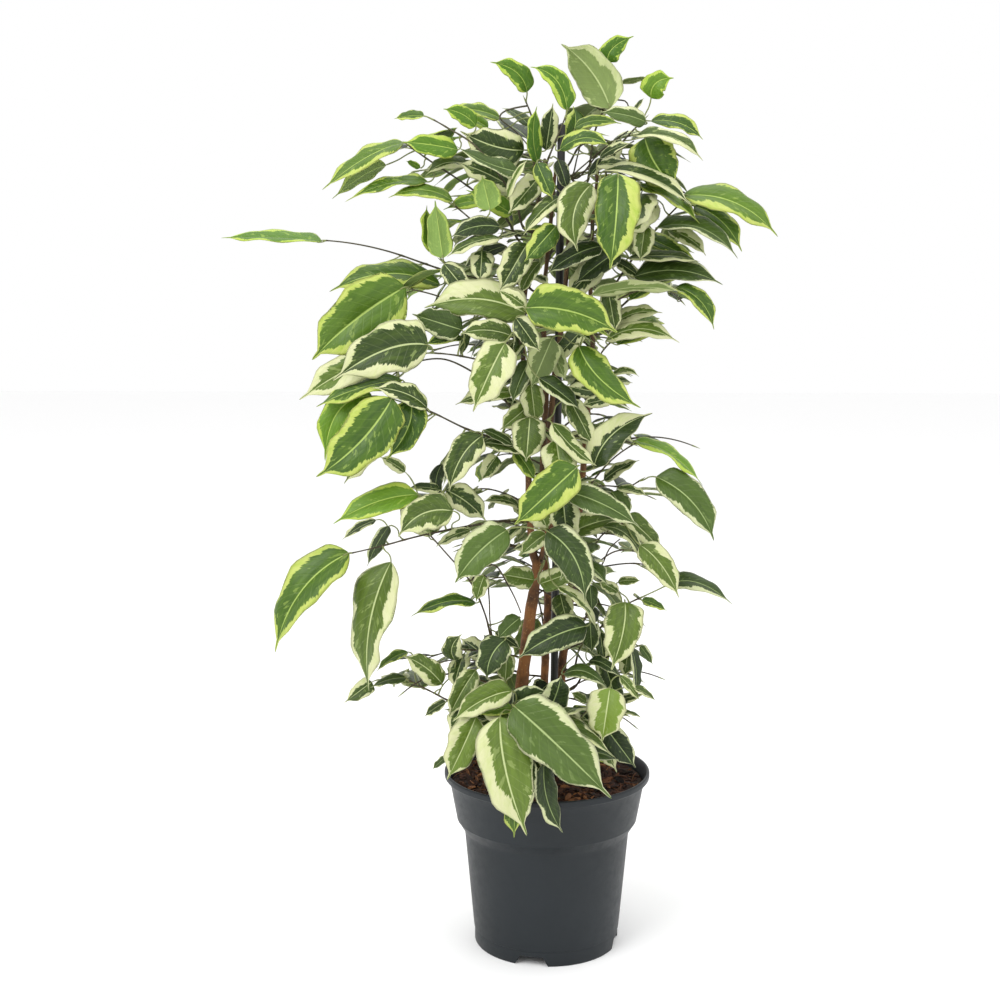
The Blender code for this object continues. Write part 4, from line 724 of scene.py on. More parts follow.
class SprayReader:
    """Reads the leaves and the twig back from a packed spray."""

    TIP_GAPS = (1.12, 1.4)
    BODY_GAP = 1.4
    GAP_SLACK = 0.03
    MERGE = 0.00002
    RADII = (0.88, 1.37)
    STATIONS = {4: (0.88, 0.7, 0.4, 0.13), 3: (0.84, 0.55, 0.2), 2: (0.74, 0.28)}
    RADIUS_SLACK = 0.01
    SQUARE_SLACK = 0.05
    RING_GAP = 0.0001

    def __init__(self, node: bpy.types.Object) -> None:
        """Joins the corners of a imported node.

        Args:
            node: The node's object.
        """
        self.shape = bmesh.new()
        self.shape.from_mesh(node.data)
        bmesh.ops.remove_doubles(self.shape, verts=self.shape.verts, dist=self.MERGE)
        self.shape.verts.index_update()
        self.beside = {
            corner: [edge.other_vert(corner) for edge in corner.link_edges] for corner in self.shape.verts
        }

    def close_gap(self, one: bmesh.types.BMVert, other: bmesh.types.BMVert, gaps: Sequence[float]) -> bool:
        """Says whether two corners lie one of some gaps apart, in millimetres."""
        reach = (one.co - other.co).length / MM
        return any(abs(reach - gap) < self.GAP_SLACK for gap in gaps)

    def rings_from(self, apex: bmesh.types.BMVert) -> list[tuple[bmesh.types.BMVert, ...]] | None:
        """Follows a blade's rings of four corners back from its tip.

        Args:
            apex: The corner at the tip.

        Returns:
            Rings of one edge, the midrib's top, the other edge and its underside, or None where it is no tip.
        """
        ring = self.beside[apex]
        if len(ring) != 4:
            return None
        order = [ring[0]]
        while len(order) < 4:
            last = self.beside[order[-1]]
            following = [corner for corner in ring if corner not in order and corner in last]
            if not following:
                return None
            order.append(following[0])
        pairs = [(order[0], order[2]), (order[1], order[3])]
        pairs.sort(key=lambda pair: (pair[0].co - pair[1].co).length)
        if not self.close_gap(*pairs[0], self.TIP_GAPS):
            return None
        (top, under), (left, right) = pairs
        rings = [(left, top, right, under)]
        used = {apex, *rings[0]}
        while True:
            back = [[corner for corner in self.beside[old] if corner not in used] for old in rings[-1]]
            both = [
                (one, other) for one, other in itertools.product(back[1], back[3])
                if one is not other and self.close_gap(one, other, [self.BODY_GAP])
            ]
            if not both:
                return rings
            top, under = both[0]
            sides = [
                [end for end in back[side] if end in self.beside[top] and end in self.beside[under]]
                for side in (0, 2)
            ]
            if not sides[0] or not sides[1]:
                return rings
            rings.append((sides[0][0], top, sides[1][0], under))
            used |= set(rings[-1])

    def leaves(self) -> list[Blade]:
        """Reads every leaf of the spray."""
        found = []
        for apex in self.shape.verts:
            rings = self.rings_from(apex)
            if rings is None or len(rings) not in self.STATIONS:
                continue
            used = {apex, *(corner for ring in rings for corner in ring)}
            base = {corner for old in rings[-1] for corner in self.beside[old] if corner not in used}
            if len(base) != 3:
                continue
            used |= base
            roots = {far for corner in base for far in self.beside[corner] if far not in used}
            found.append(self.blade_of(apex, rings, base, roots or base))
        return found

    def blade_of(
        self,
        apex: bmesh.types.BMVert,
        rings: list[tuple[bmesh.types.BMVert, ...]],
        base: set[bmesh.types.BMVert],
        roots: set[bmesh.types.BMVert],
    ) -> Blade:
        """Makes a blade of its corners.

        Args:
            apex: The corner at the tip.
            rings: Its rings from the tip back.
            base: The corners where the petiole joins it.
            roots: The corners where the petiole meets the twig.

        Returns:
            The blade.
        """
        shares = self.STATIONS[len(rings)][::-1]
        start = sum((corner.co for corner in base), Vector()) / len(base)
        root = sum((corner.co for corner in roots), Vector()) / len(roots)
        middles, left, right = [], [], []
        rise = 0.0
        for t, (one, top, other, under) in zip(shares, rings[::-1]):
            middle = (top.co + under.co) / 2.0
            middles.append(middle)
            left.append((one.co - middle) / half_width_share(t))
            right.append((other.co - middle) / half_width_share(t))
            rise += (left[-1] + right[-1]).dot(top.co - under.co)
        midrib = SmoothCurve((0.0, *shares, 1.0), (start, *middles, apex.co.copy()))
        blade = Blade(
            midrib,
            (SmoothCurve(shares, left), SmoothCurve(shares, right)),
            1.0,
            root,
            abs(round(start.x / MM) * 31 + round(start.y / MM) * 17 + round(start.z / MM) * 101),
            (apex.co - start).length,
        )
        ring = rings[-1]
        facing = blade.normal(shares[0]).dot(ring[1].co - ring[3].co) * (1.0 if rise > 0.0 else -1.0)
        return blade if facing > 0.0 else Blade(
            blade.midrib, blade.halves, -1.0, blade.root, blade.seed, blade.length
        )

    def twig(self) -> list[Ring]:
        """Reads the middle and radius of each of the twig's square rings, from the stem outwards."""
        corners = [corner.co.copy() for corner in self.shape.verts]
        pairs = []
        for one, other in itertools.combinations(corners, 2):
            radius = (one - other).length / MM / 2.0
            if self.RADII[0] < radius < self.RADII[1]:
                pairs.append(((one + other) / 2.0, radius, one - other))
        pairs.sort(key=lambda pair: tuple(pair[0]))
        found = []
        for index, (middle, radius, across) in enumerate(pairs):
            for other_middle, other_radius, other_across in pairs[index + 1:]:
                if other_middle.x - middle.x > self.MERGE:
                    break
                close = (middle - other_middle).length < self.MERGE
                alike = abs(radius - other_radius) < self.RADIUS_SLACK
                square = abs(across.normalized().dot(other_across.normalized())) < self.SQUARE_SLACK
                new = all((middle - old[0]).length > self.RING_GAP for old in found)
                if close and alike and square and new:
                    found.append((middle, radius * MM))
        found.sort(key=lambda ring: -ring[1])
        return found


@dataclass
class LeafLooks:
    """Which kind of colouring each leaf has: listed where the photograph shows it well, else by rule."""

    view: PhotoView
    reach: float = 17.0
    by_hand: tuple[tuple[LeafKind, tuple[Place, ...]], ...] = (
        (LeafKind.BRIGHT, (
            (513, 75), (549, 85), (620, 48), (660, 84), (430, 145), (438, 228), (338, 412), (377, 502),
            (671, 455), (272, 234), (485, 194), (460, 116),
        )),
        (LeafKind.YOUNG, (
            (362, 160), (360, 178), (735, 203), (722, 222), (701, 302), (573, 312), (355, 320), (360, 442),
            (386, 274), (372, 430), (408, 428), (301, 592), (545, 490), (600, 379), (656, 165), (680, 124),
            (384, 186), (420, 191), (480, 110), (540, 241), (543, 177), (582, 139),
        )),
        (LeafKind.MATURE, (
            (385, 350), (370, 625), (606, 714), (463, 747), (494, 146), (612, 525), (623, 632), (422, 514),
            (461, 458), (645, 270), (452, 647), (426, 669), (637, 691), (512, 822), (656, 566),
        )),
        (LeafKind.CREAMY, (
            (345, 371), (668, 143), (654, 190),
        )),
        (LeafKind.DEEP, (
            (692, 502), (604, 505), (698, 583), (575, 559), (478, 553), (552, 637), (592, 599), (493, 656),
            (677, 271),
        )),
    )
    half_pale: tuple[tuple[float, float, LeafKind, float, float, float], ...] = (
        (477, 299, LeafKind.MATURE, 0.2, -1.0, 0.46), (489, 374, LeafKind.CREAMY, 1.0, 0.3, 0.14),
        (613, 434, LeafKind.MATURE, -0.7, -0.7, 0.46), (506, 772, LeafKind.MATURE, -1.0, 0.2, 0.30),
        (574, 213, LeafKind.MATURE, 1.0, 0.0, 0.08), (483, 700, LeafKind.MATURE, -0.3, 1.0, 0.34),
        (556, 744, LeafKind.DEEP, 1.0, -0.4, 0.06), (616, 219, LeafKind.YOUNG, 1.0, 0.0, 0.22),
        (592, 73, LeafKind.MATURE, 1.0, 0.0, 0.14), (574, 602, LeafKind.CREAMY, 1.0, -1.0, 0.30),
        (545, 490, LeafKind.YOUNG, 1.0, 0.3, 0.12),
    )
    skew_spread: float = 0.12
    # Tone lifts by picture column, row and amount: partly each leaf's own lighter or darker green, partly
    # painted sheen on glossy leaves.
    tone_and_sheen_lifts: tuple[tuple[float, float, float], ...] = (
        (556, 744, 0.8), (506, 772, 0.35), (692, 502, 0.6), (606, 714, 0.6), (592, 73, 0.35),
        (463, 747, 0.25), (483, 700, 0.3), (545, 490, -0.25), (612, 525, 0.25), (623, 632, 0.35),
        (478, 553, 0.4), (430, 145, -0.2), (677, 271, 0.35), (625, 115, 0.5), (699, 235, 0.5),
        (604, 505, 0.6), (575, 559, 0.2), (656, 566, 0.5),
    )
    # Leaves nearer the axis than this, and not in front, get painted shade: their green is darkened as if
    # inside the crown.
    inner_reach: float = 0.065
    inner_painted_shade: float = 0.5
    front_depth: float = 0.05
    half_pale_reach: float = 0.7
    creamy_share: float = 0.36
    deep_share: float = 0.74
    young_share: float = 0.06
    outer_young: float = 0.28
    outer_from: float = 0.085
    top_young: float = 0.16
    top_row: float = 140.0

    def lift_of(self, blade: Blade) -> float:
        """Says how much lighter or darker a leaf is than its kind: as the photograph shows, or darker inside.

        Args:
            blade: The leaf's blade.

        Returns:
            What is added to its tone.
        """
        middle = blade.midrib.at(0.5)
        column, row = self.view.place(middle)
        near = min(self.tone_and_sheen_lifts, key=lambda entry: math.hypot(entry[0] - column, entry[1] - row))
        off = middle - self.view.axis
        # A listed front leaf takes its lift: its own tone, with painted sheen in some.
        if off.y < self.front_depth and math.hypot(near[0] - column, near[1] - row) < self.reach:
            return near[2]
        # Painted shade: a leaf near the stems is darkened more the nearer it lies to the axis.
        inside = 1.0 - off.to_2d().length / self.inner_reach if off.y > -0.03 else 0.0
        return -self.inner_painted_shade * max(0.0, inside)

    def looks_of(self, blade: Blade) -> tuple[LeafKind, float]:
        """Chooses the kind of a leaf and how uneven its two halves are.

        Args:
            blade: The leaf's blade.

        Returns:
            Its kind, and how much further its green reaches on the right half than on the left.
        """
        middle = blade.midrib.at(0.5)
        column, row = self.view.place(middle)
        draw = random.Random(blade.seed + 3)
        skew = draw.gauss(0.0, self.skew_spread)
        if middle.y - self.view.axis.y < self.front_depth:
            for at_column, at_row, kind, right, down, amount in self.half_pale:
                if math.hypot(at_column - column, at_row - row) < self.half_pale_reach * self.reach:
                    over = self.view.place(middle + blade.halves[1].at(0.5))
                    towards = (over[0] - column) * right + (over[1] - row) * down
                    return kind, amount * (-1.0 if towards > 0.0 else 1.0)
            choices = [
                (math.hypot(at_column - column, at_row - row), kind)
                for kind, places in self.by_hand for at_column, at_row in places
            ]
            near, kind = min(choices, key=lambda choice: choice[0])
            if near < self.reach:
                return kind, skew
        chance = draw.random()
        outwards = (middle - self.view.axis).to_2d().length
        young = self.young_share + self.outer_young * (outwards > self.outer_from)
        young += self.top_young * (row < self.top_row)
        if chance < young:
            return (LeafKind.YOUNG if chance < young * 0.75 else LeafKind.BRIGHT), skew
        share = (chance - young) / (1.0 - young)
        if share < self.creamy_share:
            return LeafKind.CREAMY, skew
        return (LeafKind.DEEP if share > self.deep_share else LeafKind.MATURE), skew


@dataclass(frozen=True)
class LeafFinish:
    """Living leaf lamina: a waxy cuticle over green tissue, with pale margins where the green is lacking.

    To the eye it is satin with soft highlights, dark along the middle and cream or lime at the edge.
    The border between them is jagged along the side veins. The underside is paler and dull.
    """

    kind: LeafKind
    centre: str
    centre_light: str
    patch: str
    margin: str
    margin_green: str
    rib: str
    reach: float
    lobes: float
    patches: float
    roughness: float = 0.38
    coat: float = 0.04
    veins: float = 11.0
    vein_slant: float = 0.2
    lane_step: float = 2.3
    jags: float = 0.34
    tip_margin: float = 0.34
    rim_from: float = 0.925
    rim_to: float = 0.955
    under_green: str = "#a2b672"
    under_share: float = 0.36
    ior: float = 1.37

    def pattern(self, nodes: NodeKit) -> tuple[Socket, Socket]:
        """Draws the variegation from each point's place along and across the blade.

        Args:
            nodes: The material in the making.

        Returns:
            The colour and the relief of the veins.
        """
        place = add_node(nodes.tree, "ShaderNodeUVMap", {"uv_map": PLACE_LAYER}).outputs[0]
        along, across, _ = nodes.parts(place)
        signed = nodes.math("MULTIPLY_ADD", across, 2.0, -1.0)
        out = nodes.math("ABSOLUTE", signed)
        side = nodes.math("SIGN", signed)
        lane = nodes.math("MULTIPLY_ADD", side, self.lane_step, nodes.own("leaf_seed"))
        vein = nodes.math("MULTIPLY_ADD", out, -self.vein_slant, along)
        line = nodes.joined(vein, lane, 0.0)
        lobes = nodes.noise(line, 5.0, 1.0, flat=True)
        jags = nodes.noise(line, 34.0, 3.0, 0.75, flat=True)
        wide = nodes.math("MULTIPLY_ADD", lobes, self.lobes, self.reach - 0.5 * self.lobes - 0.5 * self.jags)
        wide = nodes.math("MULTIPLY_ADD", side, nodes.own("leaf_skew"), wide)
        edge = nodes.math("MULTIPLY_ADD", jags, self.jags, wide)
        edge = nodes.math("SUBTRACT", edge, nodes.span(along, 0.62, 1.0, 0.0, self.tip_margin, smooth=True))
        green = nodes.span(nodes.math("SUBTRACT", edge, out), -0.012, 0.018)
        spread = nodes.joined(vein, out, lane)
        patches = nodes.noise(nodes.scaled(spread, (13.0, 2.6, 1.0)), 1.0, 2.5, 0.6)
        patched = nodes.span(patches, 0.66 - self.patches, 0.70 - self.patches, 0.0, 0.5)
        light = nodes.math("MULTIPLY_ADD", nodes.noise(spread, 6.0, 3.0), 0.7, -0.2)
        # The leaf's tone, painted shade and painted sheen included, moves its green between dark and light.
        light = nodes.math("ADD", light, nodes.own("leaf_tone"), clamp=True)
        tissue = nodes.blend(patched, nodes.blend(light, self.centre, self.centre_light), self.patch)
        margin = nodes.blend(nodes.span(patches, 0.42, 0.75), self.margin, self.margin_green)
        colour = nodes.blend(green, margin, tissue)
        colour = nodes.blend(nodes.span(out, self.rim_from, self.rim_to, 0.0, 0.9), colour, self.margin)
        saw = nodes.math("PINGPONG", nodes.math("MULTIPLY", vein, self.veins), 0.5)
        lines = nodes.span(saw, 0.40, 0.5, smooth=True)
        colour = nodes.blend(nodes.math("MULTIPLY", lines, 0.06), colour, self.rib)
        ribbed = nodes.span(out, 0.016, 0.05, 0.85, 0.0, smooth=True)
        colour = nodes.blend(ribbed, colour, self.rib)
        relief = nodes.math("ADD", lines, ribbed)
        return colour, nodes.math("MULTIPLY_ADD", nodes.noise(spread, 8.0, 1.0), -3.0, relief)

    def build(self, underside: bool) -> bpy.types.Material:
        """Makes the finish of one face.

        Args:
            underside: Whether it is the pale dull underside.

        Returns:
            The material.
        """
        nodes = NodeKit(f"ficus_lamina_{self.kind.value}{'_under' if underside else ''}")
        colour, relief = self.pattern(nodes)
        if underside:
            colour = nodes.blend(self.under_share, colour, self.under_green)
        grain = nodes.noise(None, 900.0, 2.0)
        smoother, rougher = (0.2, 0.3) if underside else (-0.04, 0.08)
        dull = nodes.span(grain, 0.3, 0.7, self.roughness + smoother, self.roughness + rougher)
        nodes.bump(nodes.math("MULTIPLY_ADD", grain, 0.25, relief), 0.5, 0.0003, not underside)
        return nodes.close({
            "Base Color": colour, "Roughness": dull, "IOR": self.ior,
            "Coat Weight": 0.0 if underside else self.coat, "Coat Roughness": 0.3,
        })


LEAF_COLOURS = {
    LeafKind.MATURE: ("#253808", "#6b832c", "#8a9a58", "#c1c396", "#b4bd80", "#bfca90", 0.69, 0.80, 0.04),
    LeafKind.DEEP: ("#192a07", "#4e6623", "#6c8144", "#bdc197", "#aeb882", "#a4b678", 0.88, 0.50, 0.02),
    LeafKind.CREAMY: ("#2b400c", "#6b842e", "#8f9f5a", "#c4c699", "#bcc388", "#c0ca90", 0.48, 0.96, 0.06),
    LeafKind.YOUNG: ("#2f4d0b", "#698a20", "#869c46", "#adb85c", "#94ab3c", "#a8bf62", 0.74, 0.72, 0.04),
    LeafKind.BRIGHT: ("#3f660c", "#759a28", "#93ab4a", "#a8ba4c", "#8fb036", "#aec65e", 0.76, 0.66, 0.04),
}
LEAF_FINISHES = tuple(LeafFinish(kind, *colours) for kind, colours in LEAF_COLOURS.items())


@dataclass(frozen=True)
class PetioleFinish:
    """Soft green leaf stalk: smooth, a little waxy, pale as the midrib that it runs into."""

    green: str = "#4c5428"
    pale: str = "#9aa262"
    roughness: float = 0.45

    def build(self) -> bpy.types.Material:
        """Makes the material."""
        nodes = NodeKit("ficus_petiole")
        colour = nodes.blend(nodes.noise(None, 180.0, 2.0), self.green, self.pale)
        return nodes.close({"Base Color": colour, "Roughness": self.roughness})


@dataclass(frozen=True)
class BarkFinish:
    """Young fig bark: thin and smooth, with small corky dots and fine lengthwise cracks.

    The eye sees an orange brown skin, greyer in the grooves, with pale dots, dull all over. A twig is greyer.
    """

    name: str
    dark: str
    warm: str
    pale: str
    young: str
    young_from: float = 0.30
    young_to: float = 0.48
    roughness: float = 0.68

    def build(self) -> bpy.types.Material:
        """Makes the material."""
        nodes = NodeKit(self.name)
        where = nodes.where()
        cracks = nodes.noise(nodes.scaled(where, (1.0, 1.0, 0.16)), 900.0, 4.0, 0.65)
        dots = add_node(nodes.tree, "ShaderNodeTexVoronoi", None, {"Vector": where, "Scale": 420.0})
        dotted = nodes.span(dots.outputs["Distance"], 0.14, 0.24, 0.55, 0.0)
        warmth = nodes.span(nodes.noise(where, 70.0, 3.0), 0.35, 0.62)
        greening = nodes.span(nodes.parts(where)[2], self.young_from, self.young_to, 0.0, 0.8)
        colour = nodes.blend(greening, nodes.blend(warmth, self.dark, self.warm), self.young)
        colour = nodes.blend(nodes.span(cracks, 0.3, 0.48, 0.55, 0.0), colour, self.dark)
        colour = nodes.blend(dotted, colour, self.pale)
        nodes.bump(nodes.math("ADD", cracks, dotted), 0.6, 0.0006)
        return nodes.close({"Base Color": colour, "Roughness": self.roughness})


class Crowding:
    """Keeps the space that blades and wood take up, so that more leaves can be laid clear of them."""

    CELL = 3.4 * MM
    MASK = 8.0
    GAP = 3
    BEHIND = 1.5 * MM
    LOWEST = 150.0 * MM

    def __init__(self, view: PhotoView) -> None:
        """Starts with nothing taken up.

        Args:
            view: The photograph's view.
        """
        self.view = view
        self.taken: set[tuple[int, int, int]] = set()
        self.shown: dict[tuple[int, int], float] = {}

    def cell(self, point: Vector) -> tuple[int, int, int]:
        """Gives the cell that a point lies in."""
        return tuple(math.floor(part / self.CELL) for part in point)

    def spot(self, point: Vector) -> tuple[int, int]:
        """Gives the square of the picture that a point shows in."""
        column, row = self.view.place(point)
        return math.floor(column / self.MASK), math.floor(row / self.MASK)

    @staticmethod
    def samples(blade: Blade) -> list[Vector]:
        """Gives points spread over a blade."""
        found = []
        for t in (0.06, 0.18, 0.3, 0.42, 0.54, 0.66, 0.78, 0.9, 1.0):
            middle, share = blade.midrib.at(t), half_width_share(t)
            found.append(middle)
            for half in blade.halves:
                found += [middle + half.at(t) * (share * reach) for reach in (0.5, 1.0)]
        return found

    def take(self, blade: Blade, shows: bool) -> None:
        """Adds a blade.

        Args:
            blade: The blade.
            shows: Whether the photograph shows it, so that leaves behind it don't change the outline.
        """
        for point in self.samples(blade):
            self.taken.add(self.cell(point))
            if shows:
                spot = self.spot(point)
                self.shown[spot] = min(point.y, self.shown.get(spot, point.y))

    def take_piece(self, piece: bpy.types.Object) -> None:
        """Adds the corners of a piece."""
        self.taken |= {self.cell(corner.co) for corner in piece.data.vertices}

    def close_gaps(self) -> None:
        """Counts narrow gaps between shown leaves as shown, along the rows of the picture."""
        for row in sorted({spot[1] for spot in self.shown}):
            columns = sorted(spot[0] for spot in self.shown if spot[1] == row)
            for low, high in zip(columns, columns[1:]):
                if high - low <= self.GAP:
                    for column in range(low + 1, high):
                        self.shown[(column, row)] = CAD_BOX[0].y

    def fits(self, blade: Blade, spare: int) -> bool:
        """Says whether a blade is clear of what is there and hidden by the outline.

        Args:
            blade: The blade.
            spare: How many of its points nearest its base may lie close to others.

        Returns:
            Whether it fits.
        """
        low, high = CAD_BOX
        for number, point in enumerate(self.samples(blade)):
            if not (low.x < point.x < high.x and low.y < point.y < high.y and self.LOWEST < point.z < high.z):
                return False
            front = self.shown.get(self.spot(point))
            if front is None or point.y < front + self.BEHIND:
                return False
            if number < spare:
                continue
            x, y, z = self.cell(point)
            near = itertools.product((x - 1, x, x + 1), (y - 1, y, y + 1), (z - 1, z, z + 1))
            if any(cell in self.taken for cell in near):
                return False
        return True


@dataclass
class Foliage:
    """All the leaves and twigs, a spray at a time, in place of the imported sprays.

    Small leaves are given as picture columns and rows of base and tip, and their apparent width in pixels.
    """

    view: PhotoView
    woods: list[bpy.types.Object]
    stem_lines: list[list[Ring]]
    form: LeafForm = field(default_factory=LeafForm)
    hidden_form: LeafForm = field(default_factory=lambda: LeafForm(rows=15, across=(0.1, 0.4, 0.75)))
    small_leaves: tuple[tuple[float, float, float, float, float], ...] = (
        (424, 116, 394, 119, 10), (420, 168, 406, 161, 7), (634, 113, 644, 98, 5),
        (604, 160, 588, 178, 12), (616, 262, 644, 281, 14), (524, 306, 498, 290, 18),
        (520, 354, 517, 324, 13), (508, 358, 530, 333, 14), (468, 330, 460, 358, 12),
        (497, 456, 481, 481, 20), (484, 576, 476, 602, 19), (440, 490, 408, 488, 12),
        (546, 534, 520, 556, 20), (590, 585, 592, 613, 16), (520, 618, 497, 640, 20),
        (618, 582, 641, 581, 10), (618, 592, 598, 582, 14), (642, 600, 667, 611, 10),
        (600, 632, 604, 662, 18), (640, 646, 653, 665, 10),
        (620, 676, 640, 701, 12), (634, 688, 656, 701, 9), (590, 622, 592, 654, 22), (624, 712, 642, 718, 5),
        (447, 757, 432, 770, 8), (446, 702, 424, 717, 11), (548, 684, 534, 700, 26), (405, 472, 380, 457, 14),
    )
    lone_spray: str = "spray_far_left_leaf"
    lone_leaf: tuple[float, float, float, float, float, float] = (322, 242, 221, 238, 13, 14)
    lone_arch: float = 1.2
    width_share: float = 0.46
    bare_twigs: tuple[tuple[Place, ...], ...] = (
        ((572, 180), (590, 160), (607, 146)),
        ((573, 178), (600, 152), (628, 131)),
        ((571, 176), (577, 158), (581, 140)),
        ((574, 181), (604, 160), (634, 141)),
        ((618, 100), (625, 101), (629, 111)),
        ((597, 108), (600, 99), (604, 90)),
        ((500, 118), (514, 130), (530, 148)),
        ((494, 565), (508, 585), (521, 613)),
        ((485, 576), (489, 597), (490, 621), (492, 635)),
        ((598, 567), (610, 548), (620, 539)),
    )
    shoot_spacing: float = 20.0
    shoot_heights: tuple[float, float] = (185.0, 660.0)
    shoot_lengths: tuple[float, float] = (40.0, 88.0)
    shoot_tries: int = 14
    shoot_leaves: int = 3
    hidden_count: int = 260
    hidden_lengths: tuple[float, float] = (24.0, 48.0)
    hidden_spacing: float = 6.5
    hidden_tries: int = 14
    # How much darker hidden leaves are painted: painted shade inside the foliage.
    hidden_painted_shade: float = 0.35
    twig_slimness: float = 0.72
    twig_sides: int = 10
    twig_step: float = 3.5
    petiole_radius: float = 0.55
    collar: float = 1.5
    bud_length: float = 7.0
    bud_rings: int = 7
    bud_sides: int = 8
    stalk_sides: int = 7
    stalk_step: float = 3.0
    petiole_step: float = 2.5
    probe_steps: int = 40
    first_probe: int = 4
    root_steps: int = 60
    depth_weight: float = 0.1
    lone_seed: int = 77
    small_seed: int = 900
    hidden_seed: int = 2000
    shoot_seed: int = 3000
    shoot_seeds: int = 4000
    spare_points: int = 2
    shoot_draw: int = 8
    hidden_draw: int = 5
    stalk_front: float = 2.0
    leaf_front: float = 3.0
    arch_share: float = 0.05
    small_leans: tuple[float, float] = (-0.5, 0.2)
    hidden_stalks: tuple[float, float] = (5.0, 10.0)
    hidden_widths: tuple[float, float] = (0.4, 0.52)
    shoot_probes: tuple[float, ...] = (0.35, 0.5, 0.65, 0.8, 1.0)
    shoot_looseness: float = 1.3
    shoot_radii: tuple[float, float] = (1.1, 0.8)
    leaf_tries: int = 3

    def __post_init__(self) -> None:
        """Makes the materials and reads every spray."""
        self.leaf_materials = [
            finish.build(underside) for finish in LEAF_FINISHES for underside in (False, True)
        ]
        self.petiole_material = PetioleFinish().build()
        self.twig_material = BarkFinish("fig_twig_bark", "#2c2216", "#4b3d25", "#84795a", "#3f3c22").build()
        self.looks = LeafLooks(self.view)
        self.leaves: dict[str, list[Blade]] = {}
        self.hidden: dict[str, list[Blade]] = {}
        self.twigs: dict[str, tuple[SmoothCurve, float, list[float]]] = {}
        for name in sorted(frame["nodes"]):
            if not name.startswith("spray_"):
                continue
            reader = SprayReader(frame["nodes"][name])
            self.leaves[name] = reader.leaves()
            self.hidden[name] = []
            rings = reader.twig()
            reader.shape.free()
            if name == self.lone_spray:
                self.leaves[name].append(self.lone_blade())
            self.twigs[name] = self.twig_line(rings, self.leaves[name])
        for number, entry in enumerate(self.small_leaves):
            self.add_small_leaf(entry, self.small_seed + number)
        self.stalks: dict[str, list[list[Vector]]] = {name: [] for name in self.twigs}
        for places in self.bare_twigs:
            name, depth, root = self.twig_at(*places[0])
            seen = [self.view.seen(*place, depth - self.stalk_front) for place in places]
            self.stalks[name].append([root, *seen])
        self.fill()

    def twig_line(
        self, rings: list[Ring], leaves: list[Blade]
    ) -> tuple[SmoothCurve, float, list[float]]:
        """Lays a twig's line through its rings, and on to the stalk of its furthest leaf.

        Args:
            rings: Middles and radii from the stem outwards.
            leaves: The spray's leaves.

        Returns:
            The line, its length, and its radius at either end.
        """
        points = [middle for middle, _ in rings]
        start = points[0] - (points[1] - points[0]).normalized() * self.collar * MM
        heading = (points[-1] - points[-2]).normalized()
        beyond = [blade.root for blade in leaves if (blade.root - points[-1]).dot(heading) > 3.0 * MM]
        if beyond:
            points.append(max(beyond, key=lambda root: (root - points[-1]).dot(heading)))
        line, length = curve_through([start, *points])
        return line, length, [rings[0][1], 0.9 * MM if beyond else rings[-1][1]]

    def blade_seen(
        self, base: Vector, tip: Vector, apparent: float, root: Vector, arch: Vector, seed: int
    ) -> Blade:
        """Lays out a leaf that the picture shows with a certain width, turned so that its own fits that.

        Args:
            base: Where the petiole joins it.
            tip: Its tip.
            apparent: Its width in the picture, in pixels.
            root: Where the petiole leaves the twig.
            arch: How far its middle is off the straight line.
            seed: Its number.

        Returns:
            The blade.
        """
        along = (tip - base).normalized()
        towards = self.view.eye - base
        shown = apparent * towards.length / self.view.focal_pixels
        towards = (towards - along * towards.dot(along)).normalized()
        width = max(shown, self.width_share * (tip - base).length)
        turn = math.acos(min(1.0, shown / width))
        faces = [Matrix.Rotation(way * turn, 3, along) @ towards for way in (-1.0, 1.0)]
        return blade_between(base, tip, max(faces, key=lambda face: face.z), width, arch, root, seed)

    def lone_blade(self) -> Blade:
        """Lays out the leaf seen edge-on at the far left, at the end of its long twig."""
        base_column, base_row, tip_column, tip_row, width, depth = self.lone_leaf
        base = self.view.seen(base_column, base_row, depth)
        tip = self.view.seen(tip_column, tip_row, depth)
        root = self.view.seen(base_column + 4.0, base_row - 1.5, depth)
        return self.blade_seen(base, tip, width, root, UP * (self.lone_arch * MM), self.lone_seed)

    def twig_at(self, column: float, row: float) -> tuple[str, float, Vector]:
        """Finds the twig that shows nearest to a place in the picture, the nearer ones first.

        Args:
            column: Picture column.
            row: Picture row.

        Returns:
            The spray's name, the twig's depth there in millimetres, and the point on its line.
        """
        choices = []
        for name, (line, length, _) in self.twigs.items():
            for step in range(self.first_probe, self.probe_steps + 1):
                point = line.at(length * step / self.probe_steps)
                at_column, at_row = self.view.place(point)
                depth = (point.y - self.view.axis.y) / MM
                off = math.hypot(at_column - column, at_row - row) + self.depth_weight * depth
                choices.append((off, name, depth, point))
        return min(choices, key=lambda choice: choice[0])[1:]

    def add_small_leaf(self, entry: tuple[float, float, float, float, float], seed: int) -> None:
        """Adds a small leaf to the spray whose twig shows nearest to its base.

        Args:
            entry: Base column and row, tip column and row, apparent width.
            seed: Its number.
        """
        base_column, base_row, tip_column, tip_row, width = entry
        name, depth, root = self.twig_at(base_column, base_row)
        draw = random.Random(seed)
        depth -= self.leaf_front
        base = self.view.seen(base_column, base_row, depth)
        reach = (self.view.seen(tip_column, tip_row, depth) - base).length / MM
        tip = self.view.seen(tip_column, tip_row, depth + draw.uniform(*self.small_leans) * reach)
        arch = UP * (self.arch_share * (tip - base).length)
        self.leaves[name].append(self.blade_seen(base, tip, width, root, arch, seed))

